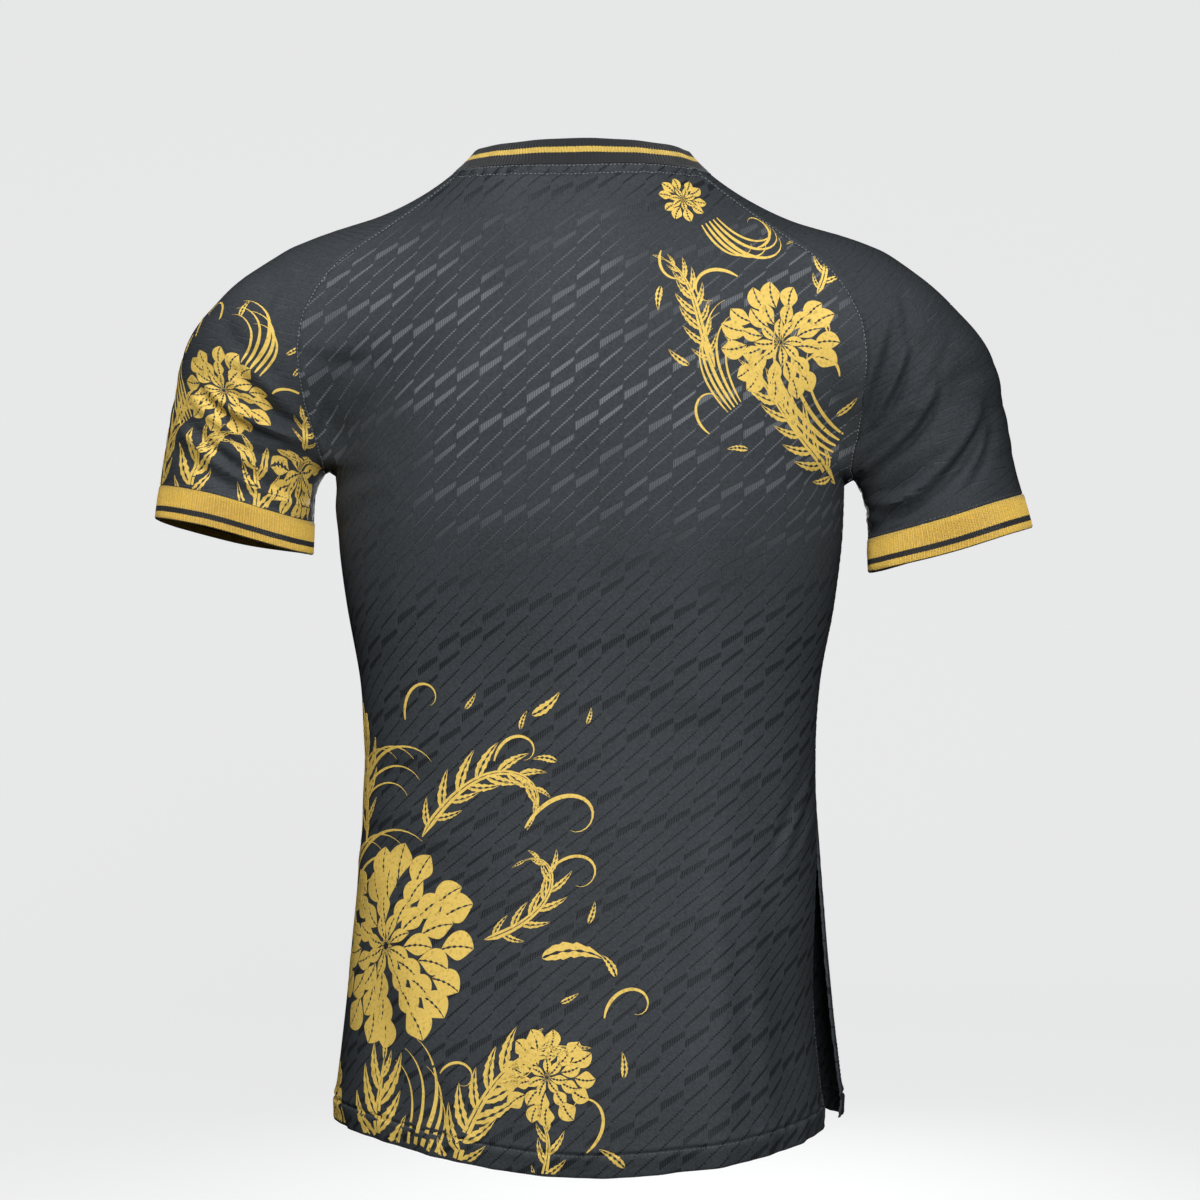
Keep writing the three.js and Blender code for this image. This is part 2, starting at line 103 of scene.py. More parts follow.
class CubicTable:
    """A table whose columns are read between its rows by cubics.

    The slope at a row is the difference of its two neighbours over the distance between them, and past the
    ends the end value holds.
    """

    def __init__(self, rows: Sequence[Sequence[float]]) -> None:
        """Takes the table.

        Args:
            rows: Rows that start with their key.
        """
        table = np.asarray(rows, dtype=float)
        self.keys, self.values = table[:, 0], table[:, 1:]
        last = len(table) - 1
        low = np.maximum(np.arange(last + 1) - 1, 0)
        high = np.minimum(np.arange(last + 1) + 1, last)
        self.slopes = (self.values[high] - self.values[low]) / (self.keys[high] - self.keys[low])[:, None]

    def at(self, key: Array | float) -> Array:
        """Reads every column.

        Args:
            key: Where to read.

        Returns:
            The columns' values, on a new last axis.
        """
        key = np.clip(np.asarray(key, dtype=float), self.keys[0], self.keys[-1])
        i = np.clip(np.searchsorted(self.keys, key) - 1, 0, len(self.keys) - 2)
        span = (self.keys[i + 1] - self.keys[i])[..., None]
        w = (key - self.keys[i])[..., None] / span
        p, q = self.values[i], self.values[i + 1]
        mp, mq = self.slopes[i] * span, self.slopes[i + 1] * span
        return p + mp * w + (3 * (q - p) - 2 * mp - mq) * w**2 + (2 * (p - q) + mp + mq) * w**3


# ---- The jersey's form ----


def soft_min(a: Array, b: Array, blend: Array | float) -> Array:
    """The lesser of two distances, rounded where they are within blend of each other."""
    near = np.maximum(blend - np.abs(a - b), 0) / blend
    return np.minimum(a, b) - near * near * blend / 4


@dataclass(frozen=True)
class Form:
    """The one surface that all panels lie on: a body, two shoulders and two upper arms that melt together."""

    power: float = 2.25  # of the body's sections: 2 is an ellipse, and more is squarer
    # height: half the width, reach to the back, reach to the front
    body: CubicTable = CubicTable(
        [
            (-760, 190, 122, 112), (-700, 187, 120, 112), (-640, 179, 116, 110), (-570, 172, 108, 108),
            (-500, 166, 98, 105), (-430, 162, 91, 103), (-370, 165, 92, 106), (-310, 175, 100, 113),
            (-250, 182, 110, 119), (-190, 181, 116, 118), (-140, 168, 114, 108), (-95, 140, 105, 88),
            (-60, 108, 93, 70), (-25, 81, 78, 58), (10, 65, 67, 51), (50, 64, 62, 50), (90, 63, 61, 50),
        ]
    )
    # step: centre x, y, z and radius
    shoulder: CubicTable = CubicTable(
        [
            (0, 50, -12, -65, 63), (1, 130, -11, -95, 64), (2, 214, -10, -130, 69), (3, 237, -9, -172, 63),
            (4, 252, -9, -215, 56), (5, 257, -8, -260, 57), (6, 262, -8, -320, 60),
        ]
    )
    shoulder_steps: int = 18
    slope: tuple[float, ...] = (258.0, -85.0, 0.68, 0.73, 22.0)  # x, z, outward, upward, blend
    # open, its z, closed, its z, from y, to y, arm y
    armpit: tuple[float, ...] = (6.0, -222.0, 36.0, -207.0, 8.0, 60.0, -4.0)
    blade: tuple[float, ...] = (62.0, -200.0, -110.0)  # width, from z, to z

    def outside_body(self, p: Array) -> Array:
        """How far points are outside the body's section at their height, measured along the radius.

        Args:
            p: The points.

        Returns:
            Their distances.
        """
        x, y = p[..., 0], p[..., 1]
        half, rear, fore = np.moveaxis(self.body.at(p[..., 2]), -1, 0)
        reach = np.where(y < 0, rear, fore)
        radius = np.hypot(x, y)
        scaled = (np.abs(x / half) ** self.power + np.abs(y / reach) ** self.power) ** (1 / self.power)
        return radius - radius / np.maximum(scaled, 1e-6)

    def outside_arm(self, p: Array) -> Array:
        """How far points are outside the chain of round cones along the shoulder and arm, on either side.

        Args:
            p: The points.

        Returns:
            Their distances.
        """
        chain = self.shoulder.at(np.linspace(0, self.shoulder.keys[-1], self.shoulder_steps + 1))
        q = np.stack([np.abs(p[..., 0]), p[..., 1], p[..., 2]], axis=-1)
        least = np.full(p.shape[:-1], np.inf)
        for a, b in zip(chain[:-1], chain[1:]):
            along = b[:3] - a[:3]
            t = np.clip((q - a[:3]) @ along / (along @ along), 0, 1)
            away = np.linalg.norm(q - a[:3] - t[..., None] * along, axis=-1)
            least = np.minimum(least, away - mix(a[3], b[3], t))
        return least

    def distance(self, p: Array) -> Array:
        """The form's distance field: the soft least of the body's and the arm's, softest by the blade.

        Args:
            p: The points.

        Returns:
            Their distances.
        """
        open_, open_z, closed, closed_z, from_y, to_y, arm_y = self.armpit
        width, from_z, to_z = self.blade
        aside = between(np.abs(p[..., 1] - arm_y), from_y, to_y)
        low = mix(open_, closed, 1 - (1 - aside) * (1 - between(p[..., 2], open_z, closed_z)))
        blend = mix(low, width, between(p[..., 2], from_z, to_z))
        x, z, outward, upward, corner = self.slope
        beyond = (np.abs(p[..., 0]) - x) * outward + (p[..., 2] - z) * upward
        arm = -soft_min(-self.outside_arm(p), -beyond, corner)
        return soft_min(self.outside_body(p), arm, blend)

    def gradient(self, p: Array) -> Array:
        """The field's slope, from its values half a millimetre to each side.

        Args:
            p: The points.

        Returns:
            The slopes.
        """
        e = 0.5
        steps = np.concatenate([np.eye(3), -np.eye(3)]) * e
        values = self.distance(p[None] + steps.reshape((6,) + (1,) * (p.ndim - 1) + (3,)))
        return np.stack([values[k] - values[k + 3] for k in range(3)], axis=-1) / (2 * e)

    def normal(self, p: Array) -> Array:
        """The outward direction at points of the surface."""
        return unit(self.gradient(p))

    def settle(self, guess: Array, level: Array | float = 0.0, rounds: int = 12) -> Array:
        """Slides points along the slope onto the surface.

        Args:
            guess: Where the points start.
            level: As it goes from 0 to 1, a point keeps its height more.
            rounds: How many steps to take.

        Returns:
            The points on the surface.
        """
        p = np.array(guess, dtype=float)
        keep = np.ones(p.shape)
        keep[..., 2] = 1 - np.broadcast_to(level, p.shape[:-1])
        for _ in range(rounds):
            slope = self.gradient(p)
            way = slope * keep
            p = p - way * (self.distance(p) / np.maximum(dot(slope, way), 1e-3))[..., None]
        return p


FORM = Form()


Span = tuple[float, float]  # two places between which something comes in


@dataclass(frozen=True)
class Wear:
    """How the jersey sits: right shoulder lower, right cuff turned out and back, neck leaning left."""

    drop: float = 7.0  # of the right shoulder
    drop_x: Span = (40.0, 170.0)
    inward: float = 4.0  # of the right sleeve above its cuff
    cuff_out: float = 3.0
    cuff_z: Span = (-200.0, -265.0)
    inner_drop: float = 7.0  # of the right cuff's inner end
    inner_x: Span = (310.0, 200.0)
    inner_z: Span = (-200.0, -250.0)
    inner_edge: Span = (180.0, 200.0)
    tilt_right: float = 0.05  # of the sleeves, a share of y
    tilt_left: float = -0.07
    tilt_y: float = -9.0
    tilt_x: Span = (190.0, 270.0)
    lean: float = 4.0  # of the neck to the left
    lean_z: Span = (-70.0, 0.0)
    above_z: Span = (-420.0, -270.0)  # drops and tilts fade in between these heights

    def put_on(self, p: Array) -> Array:
        """Moves points of the even jersey to where they are as worn.

        The sleeves shift sideways and tilt with y, the right shoulder drops, and the neck moves to the left,
        each by a smooth share of its distance.

        Args:
            p: The points.

        Returns:
            The moved points.
        """
        x, y, z = np.moveaxis(p, -1, 0)
        sleeve = between(np.abs(x), *self.tilt_x)
        right = (x > 0).astype(float)
        above = between(z, *self.above_z)
        turned = mix(-self.inward, self.cuff_out, between(z, *self.cuff_z)) * sleeve * right
        tilt = np.where(x > 0, self.tilt_right, self.tilt_left)
        inner = between(x, *self.inner_x) * between(z, *self.inner_z)
        lifted = tilt * (y - self.tilt_y) * sleeve - self.inner_drop * inner * between(x, *self.inner_edge)
        return np.stack(
            [
                x + turned - self.lean * between(z, *self.lean_z),
                y,
                z + above * (lifted - self.drop * between(x, *self.drop_x)),
            ],
            axis=-1,
        )


WEAR = Wear()


@dataclass(frozen=True)
class Crease:
    """A trough along a curve that two ends and a third place pull, with a ridge beside it.

    Where the depth is below zero, it is the other way round.
    """

    start: tuple[float, float]  # x and z
    via: tuple[float, float]
    end: tuple[float, float]
    width: float
    depth: float
    ridge: float = 0.55

    def height(self, p: Array) -> Array:
        """How far the crease pushes points outwards.

        Across it, the trough is a bell of its width, less a wider bell one and a half widths above it. Along
        it, the depth follows a sine that fades at both ends. The distance is to the nearest of the curve's
        short chords.

        Args:
            p: The points.

        Returns:
            Their heights.
        """
        pts = [np.array(q, dtype=float) for q in (self.start, self.via, self.end)]
        flat = p[..., [0, 2]]
        reach = 4 * self.width
        low, high = np.min(pts, axis=0) - reach, np.max(pts, axis=0) + reach
        near = np.all((flat > low) & (flat < high), axis=-1)
        q = flat[near]
        if not len(q):
            return np.zeros(p.shape[:-1])
        t = np.linspace(0, 1, 25)[:, None]
        line = pts[0] * (1 - t) ** 2 + 2 * pts[1] * t * (1 - t) + pts[2] * t**2
        a, way = line[:-1], np.diff(line, axis=0)
        share = np.clip(((q[:, None] - a) * way).sum(-1) / (way * way).sum(-1), 0, 1)
        offset = q[:, None] - a - share[..., None] * way
        away = np.linalg.norm(offset, axis=-1)
        k = away.argmin(axis=1)
        pick = np.arange(len(q))
        off, to = offset[pick, k], way[k]
        side = np.sign(off[:, 0] * to[:, 1] - off[:, 1] * to[:, 0]) * np.sign(self.start[0] or 1)
        across = away[pick, k] * side / self.width
        along = (k + share[pick, k]) / len(a)
        trough = np.exp(-(across**2)) - self.ridge * np.exp(-((across - 1.5) ** 2))
        out = np.zeros(p.shape[:-1])
        out[near] = -self.depth * trough * np.sin(np.pi * (0.08 + 0.84 * along)) ** 0.7
        return out


def creases(*rows: Sequence[float]) -> tuple[Crease, ...]:
    """Creases from rows of start x and z, via x and z, end x and z, width, depth and perhaps ridge."""
    return tuple(Crease(row[:2], row[2:4], row[4:6], *row[6:]) for row in rows)


# The largest folds, which the solids have too.
LARGE_FOLDS = creases(
    (-231, -163, -222, -178, -203, -190, 9, 1.6), (-264, -186, -228, -206, -193, -212, 9, 3.2),
    (-276, -207, -252, -226, -222, -236, 9, 2.8), (229, -109, 219, -140, 204, -176, 9, 1.8),
    (246, -126, 229, -156, 206, -192, 9, 2.2), (268, -148, 246, -182, 205, -216, 10, 2.6),
    (291, -170, 268, -222, 203, -232, 10, 3.0), (120, -455, 146, -580, 150, -670, 16, 2.6),
    (80, -480, 108, -583, 112, -676, 18, 1.8),
)
FINE_CREASES_BACK = creases(
    (-197, -79, -184, -86, -168, -90, 2.6, 1.8), (-202, -140, -172, -146, -138, -147, 6, 1.3),
    (-190, -206, -184, -186, -172, -160, 4.5, 1.6), (-180, -220, -168, -192, -152, -172, 6, 1.4),
    (-168, -232, -150, -212, -128, -196, 9, 1.1), (-178, -262, -160, -248, -140, -240, 8, 1.1),
    (134, -488, 147, -458, 157, -424, 3.6, 1.3), (144, -494, 156, -462, 166, -432, 3.4, 1.4),
    (126, -500, 139, -478, 148, -446, 4.4, 0.9), (156, -500, 166, -478, 172, -448, 3.8, 1.1),
    (176, -232, 160, -214, 138, -204, 7, 1.4), (184, -206, 172, -186, 160, -172, 5, 1.3),
    (178, -286, 158, -262, 134, -250, 10, 1.1), (-160, -420, -132, -434, -98, -436, 11, 1.1),
    (-168, -470, -130, -492, -84, -496, 13, 1.3), (-158, -520, -132, -600, -128, -680, 15, 2.2),
    (-60, -560, -48, -630, -52, -694, 17, 1.6), (28, -540, 34, -610, 24, -690, 20, 1.4),
    (-96, -640, -90, -668, -92, -700, 6, 2.0), (-66, -664, -62, -682, -64, -703, 5, 2.2),
    (120, -395, 90, -402, 52, -398, 14, 0.9), (-20, -60, 0, -90, 4, -150, 22, 1.1),
    (150, -116, 168, -140, 176, -172, 10, 2.6), (-184, -168, -170, -150, -150, -138, 9, 2.0),
    (104, -500, 119, -590, 122, -674, 9, 1.7, 0.9), (-186, -232, -168, -222, -146, -222, 7, 1.4),
    (184, -214, 168, -214, 150, -226, 7, 1.2),
)
FINE_CREASES_FRONT = creases(
    (-190, -206, -180, -186, -166, -160, 5, 0.9), (-180, -228, -160, -204, -132, -186, 9, 0.9),
    (188, -206, 176, -184, 160, -166, 6, 0.9), (178, -236, 156, -214, 130, -200, 10, 0.8),
    (-150, -430, -110, -452, -64, -450, 13, 0.8), (156, -440, 118, -466, 76, -470, 12, 0.7),
    (-130, -520, -116, -600, -120, -672, 17, 1.5), (-40, -540, -34, -610, -44, -676, 19, 1.0),
    (60, -530, 72, -600, 64, -672, 18, 1.3), (140, -500, 150, -580, 146, -664, 15, 1.6),
    (-90, -250, -40, -272, 16, -268, 20, 0.8),
)
FINE_CREASES_SLEEVE = creases(
    (-266, -164, -236, -190, -196, -196, 4.6, -3.8, 0.9), (-240, -155, -222, -176, -202, -190, 5.5, 3.7),
    (-276, -170, -252, -200, -214, -206, 4.2, -3.8, 0.9), (-284, -192, -256, -228, -200, -244, 4, -4.6, 0.9),
    (-290, -206, -268, -228, -238, -238, 4.4, 2.6), (-214, -96, -226, -112, -232, -138, 5, 1.7),
    (-252, -120, -240, -140, -216, -152, 6, 1.7), (198, -210, 234, -192, 248, -156, 3.8, -3.8, 0.9),
    (203, -180, 222, -150, 228, -128, 3.4, -3.3, 0.9), (190, -184, 203, -146, 213, -112, 4.6, -2.9, 0.9),
    (188, -242, 258, -226, 280, -172, 4.4, -4.6, 0.9), (266, -220, 284, -200, 286, -178, 3.4, -2.9, 0.8),
    (187, -226, 206, -235, 232, -226, 3.6, -2.9, 0.8), (206, -206, 222, -196, 240, -172, 8, 3.0),
    (224, -92, 232, -112, 226, -140, 5, 1.7), (262, -118, 252, -144, 238, -164, 5, 1.7),
)


# ---- Seams and panels ----

UNDERARM_X = 190.0
UNDERARM_Z = -214.0
UNDERARM_BETWEEN = (-240.0, -200.0)  # heights that surely lie under and over the armpit's cloth
HALF_SEAM = 0.15  # half the gap between two sewn pieces
VENT_HEIGHT, VENT_OPEN = 88.0, 6.0  # the vent's height, and half its width more at the hem
HEM_SIDE_Z = -680.0
NECK_ROWS = (0, 0.7, 1.6, 2.7, 3.8, 4.8, 5.7, 6.4, 7.0, 7.6, 8.3, 9.2, 10.4, 12.2)
NECK_LENGTH = 200.0  # about the run from the underarm's height to the neck


def crowd(even: Array) -> Array:
    """Draws evenly spaced places from -1 to 1 towards both ends."""
    return even * 1.16 - 0.16 * even**3


def underarm_point() -> Array:
    """The lowest cloth in the armpit, where the panels' corners meet, found by halving.

    Returns:
        The point, on the wearer's right.
    """
    low, high = UNDERARM_BETWEEN
    for _ in range(30):
        z = (low + high) / 2
        if FORM.distance(np.array([UNDERARM_X, 0.0, z])) > 0:
            low = z
        else:
            high = z
    return np.array([UNDERARM_X, 0.0, low])


class Raglan:
    """The raglan seams from the underarm (s = 0) to the neck (s = 1), and the sleeve's crest and centres."""

    lines = {
        "back": CubicTable(
            [
                (0, 190, 0, -214), (0.1, 191, -30, -207), (0.19, 194, -50, -188), (0.29, 198, -63, -163),
                (0.39, 199, -69, -134), (0.49, 192, -70, -107), (0.615, 171, -66, -73), (0.74, 143, -58, -48),
                (0.88, 110, -49, -24), (1, 80, -41, -8),
            ]
        ),
        "front": CubicTable(
            [
                (0, 190, 0, -214), (0.1, 191, 24, -205), (0.19, 192, 40, -182), (0.29, 196, 50, -160),
                (0.39, 195, 56, -136), (0.49, 186, 57, -112), (0.615, 166, 55, -86), (0.74, 138, 51, -67),
                (0.88, 106, 44, -50), (1, 78, 37, -38),
            ]
        ),
        "crest": CubicTable(
            [
                (0, 306, -9, -205), (0.1, 301, -9, -180), (0.19, 294, -9, -152), (0.29, 283, -9, -121),
                (0.39, 265, -10, -92), (0.49, 241, -10, -70), (0.615, 203, -11, -53), (0.74, 165, -11, -37),
                (0.88, 121, -12, -18), (1, 88, -13, -7),
            ]
        ),
        "centre": CubicTable(
            [
                (0, 247, -9, -208), (0.1, 241, -9, -190), (0.19, 234, -9, -173), (0.29, 227, -10, -156),
                (0.39, 218, -10, -141), (0.49, 205, -10, -128), (0.615, 180, -11, -113),
                (0.74, 148, -12, -98), (0.88, 108, -12, -84), (1, 66, -12, -66),
            ]
        ),
    }

    def __init__(self) -> None:
        """Finds the underarm point once."""
        self.underarm = underarm_point()

    def line(self, name: str, s: Array) -> Array:
        """Points of one line, on the wearer's right."""
        return self.lines[name].at(s)

    def seam(self, name: str, s: Array) -> Array:
        """Points of a seam on the form, which starts at the underarm point."""
        points = FORM.settle(self.line(name, s))
        return np.where((s <= 0)[..., None], self.underarm, points)


RAGLAN = Raglan()


class Facing(Enum):
    """Which way a body panel faces along y."""

    BACK = -1
    FRONT = 1


def mirrored(p: Array, side: Array | float) -> Array:
    """Points with x multiplied by side."""
    one = np.ones(p.shape[:-1])
    return p * np.stack([side * one, one, one], axis=-1)


@dataclass
class BodyCut:
    """The rows of the back or front, from the hem (v = 0) past the underarm (v = 1) to the neck (v = 2)."""

    facing: Facing
    hem: CubicTable  # across: how far the hem hangs below the side seams
    hem_z: float
    neck_dip: float  # the neckline's centre below its corners
    widest: float  # the angle that the neckline turns through
    arc_reach: float = 0.955  # the share of a row that is an arc
    armpit: float = 0.2  # the share of the rows that end in the armpit
    armpit_fade: float = 0.12
    arm_room: float = 4.0  # how far inside the body's width they stay there
    twist: float = 0.14  # how far the skirt is turned
    twist_z: float = -400.0
    twist_fade: float = 180.0

    def below(self, u: Array, t: Array) -> Array:
        """Points below the underarm.

        A row keeps its height, lowered by the hem's shape less and less from the hem up, and turns a quarter
        circle to each side, round a body whose skirt is turned a little.

        Args:
            u: From -1 at the left seam to 1 at the right.
            t: From 0 at the hem to 1 at the underarm.

        Returns:
            The points.
        """
        facing = self.facing.value
        side_z = mix(self.hem_z, RAGLAN.underarm[2], t)
        twist = self.twist * smooth((side_z - self.twist_z) / -self.twist_fade)
        z = side_z - (1 - t) ** 2 * self.hem.at(u)[..., 0]
        turn = np.pi / 2 * u + facing * twist
        forward = facing * np.cos(turn)
        half, rear, fore = np.moveaxis(FORM.body.at(z), -1, 0)
        guess = np.stack([half * np.sin(turn), forward * np.where(forward < 0, rear, fore), z], axis=-1)
        return FORM.settle(guess, 1.0)

    def above(self, u: Array, s: Array) -> Array:
        """Points between the raglan seams.

        A row is an arc between the seams that sinks towards its middle, slid onto the form. Its ends run
        straight to the seam in the armpit.

        Args:
            u: From -1 at the left seam to 1 at the right.
            s: From 0 at the underarm to 1 at the neck.

        Returns:
            The points.
        """
        facing = self.facing.value
        line = "back" if facing < 0 else "front"
        seam = RAGLAN.seam(line, s)
        neck_z = RAGLAN.seam(line, np.array([1.0]))[0, 2] - self.neck_dip
        centre_z = mix(RAGLAN.underarm[2], neck_z, s)
        centre_y = facing * FORM.body.at(centre_z)[..., 1 if facing < 0 else 2]
        widest = mix(np.pi / 2, self.widest, np.sqrt(s))
        bulge = (seam[..., 1] - centre_y) / (1 - np.cos(widest))
        half = FORM.body.at(UNDERARM_Z)[..., 0] - self.arm_room
        inside_arm = mix(half, seam[..., 0], smooth(s / self.armpit))

        def arc(w: Array) -> Array:
            """The arcs' points on the form.

            Args:
                w: From -1 at the left seam to 1 at the right.

            Returns:
                The points.
            """
            turn = widest * w
            fall = (np.cos(turn) - np.cos(widest)) / (1 - np.cos(widest))
            side = np.minimum(seam[..., 0] * np.abs(np.sin(turn)) / np.sin(widest), inside_arm)
            y = centre_y + bulge * (1 - np.cos(turn))
            z = seam[..., 2] - (seam[..., 2] - centre_z) * fall
            guess = np.stack([np.sign(w) * side, y, z], axis=-1)
            return FORM.settle(guess, np.broadcast_to(s, guess.shape[:-1]))

        edge = self.arc_reach
        inner = np.sign(u) * np.minimum(np.abs(u), edge)
        reached = arc(inner)
        end = mirrored(np.broadcast_to(seam, reached.shape), np.sign(u))
        chord = mix(reached, end, np.clip((np.abs(u) - edge) / (1 - edge), 0, 1)[..., None])
        free = smooth((s - self.armpit) / self.armpit_fade) * np.ones_like(u)
        settled = np.where((np.abs(u) > edge)[..., None], FORM.settle(chord, rounds=5), reached)
        return np.where((np.abs(u) > edge)[..., None], mix(chord, settled, free[..., None]), reached)

    def points(self, u: Array, v: Array) -> Array:
        """Points of the cut's grid, with u of shape (rows, columns) and v of shape (rows, 1)."""
        low = v[:, 0] < 1
        return np.concatenate([self.below(u[low], v[low]), self.above(u[~low], v[~low] - 1)])


@dataclass
class SleeveCut:
    """The right sleeve's rows, from its lower edge (v = 0) past the underarm (v = 1) to the neck (v = 2)."""

    outer: Array = field(default_factory=lambda: np.array([309.0, -9.0, -228.0]))
    inner: Array = field(default_factory=lambda: np.array([199.0, -8.0, -253.0]))

    @staticmethod
    def arc(u: Array, centre: Array, crest: Array, back: Array, front: Array) -> Array:
        """Points of rows from the back seam (u = -1) over the crest to the front seam (u = 1).

        Round the centre, the angle grows evenly from the crest to each seam, the radius goes from the crest's
        to the seam's with the square of the share, and the way along the arm with its cube. The points then
        slide onto the form.

        Args:
            u: Places along each row.
            centre: Each row's centre.
            crest: Its highest point.
            back: Its end at the back seam.
            front: Its end at the front seam.

        Returns:
            The points.
        """
        up = crest - centre
        crest_radius = np.linalg.norm(up, axis=-1)
        up = unit(up)
        rear = unit(np.array([0.0, -1.0, 0.0]) + up * up[..., 1:2])
        along = np.cross(up, rear)
        share = np.abs(u)
        parts = []
        for end, sign in ((back, 1.0), (front, -1.0)):
            d = end - centre
            a, b = dot(d, up), dot(d, rear)
            angle = np.abs(np.arctan2(b, a)) * sign * share
            radius = mix(crest_radius, np.hypot(a, b), share**2)
            parts.append(
                centre
                + up * (radius * np.cos(angle))[..., None]
                + rear * (radius * np.sin(angle))[..., None]
                + along * (dot(d, along) * share**3)[..., None]
            )
        return FORM.settle(np.where((u < 0)[..., None], parts[0], parts[1]))

    def above(self, u: Array, s: Array) -> Array:
        """Points between the raglan seams.

        Args:
            u: From -1 at the back seam to 1 at the front one.
            s: From 0 at the underarm to 1 at the neck.

        Returns:
            The points.
        """
        ends = [RAGLAN.seam(name, s) for name in ("back", "front")]
        free = self.arc(u, RAGLAN.line("centre", s), RAGLAN.line("crest", s), *ends)
        end = np.where((u < 0)[..., None], ends[0], ends[1])
        return np.where((np.abs(u) >= 1)[..., None], end, free)

    def tube(self, u: Array, t: Array, below: Array | float = 0.0) -> Array:
        """Rings of the tube below the underarm.

        Args:
            u: Places round each ring.
            t: From 0 at the bottom edge to 1 at the underarm.
            below: Millimetres that the ring lies past the bottom edge.

        Returns:
            The points.
        """
        across = unit(self.outer - self.inner)
        down = np.array([across[2], 0.0, -across[0]])
        shift = down * np.asarray(below)[..., None]
        outer, inner = self.outer + shift, self.inner + shift
        t = np.asarray(t)[..., None]
        seam = mix(FORM.settle(inner), RAGLAN.underarm, t)
        crest = mix(outer, RAGLAN.line("crest", np.array(0.0)), t)
        centre = (crest + seam) / 2
        seam = FORM.settle(seam)
        return self.arc(u, centre, crest, seam, seam)

    def points(self, u: Array, v: Array) -> Array:
        """Points of the cut's grid, with u of shape (rows, columns) and v of shape (rows, 1)."""
        low = v[:, 0] < 1
        return np.concatenate([self.tube(u[low], v[low]), self.above(u[~low], v[~low] - 1)])


@dataclass
class Cloth:
    """How a panel's cloth lies off its form."""

    creases: tuple[Crease, ...] = ()
    facing: float = 0.0  # creases show only where y has this sign, or on all sides if it is 0
    wall: float = 1.5
    seam_sink: float = 0.5
    seam_width: float = 1.3
    pucker: float = 0.22
    hem_depth: float = 0.0
    hem_curl: float = 0.0
    neck_stitch: float = 0.0  # how far below the neck seam a stitch line draws the cloth in
    vent_tuck: float = 0.0  # how far the right edge hangs inwards at the hem


@dataclass(frozen=True)
class Bell:
    """A bell-shaped ridge, or a trough where its height is below zero."""

    centre: float
    width: float
    height: float

    def at(self, x: Array) -> Array:
        """Its height at x."""
        return self.height * np.exp(-(((x - self.centre) / self.width) ** 2))


SEAM_PUFF = Bell(3.6, 2.2, 0.35)  # over the distance from a sewn edge
HEM_GROOVE = Bell(0.0, 1.25, -1.15)  # over the distance above the hem's stitch line
HEM_PUFF = Bell(3.4, 2.4, 0.55)
HEM_PUCKER = Bell(0.0, 6.0, 0.5)
HEM_EDGE = Bell(0.0, 1.0, -0.8)  # over the height above the hem's edge
HEM_STEP, HEM_ROLL = 0.5, 2.8  # how far the turned-up cloth stands out, and how far its edge rolls in
VENT_BULGE = Bell(96.0, 10.0, 2.2)  # over x
VENT_HOLLOW = Bell(72.0, 12.0, -1.6)
VENT_HANG = (-450.0, -620.0)  # heights between which the right edge comes to hang inwards
VENT_TURN = (102.0, 168.0)  # and the x between which it does
NECK_GROOVE = Bell(0.0, 1.5, -1.5)  # over the distance below the neck's stitch line
NECK_PUCKER = Bell(-2.2, 4.2, 0.55)


def swaying_sine(x: Array, rate: float, sway: float, slow: float) -> Array:
    """A sine of x at a rate, whose phase sways by a slow sine of x."""
    return np.sin(x * rate + sway * np.sin(x * slow))


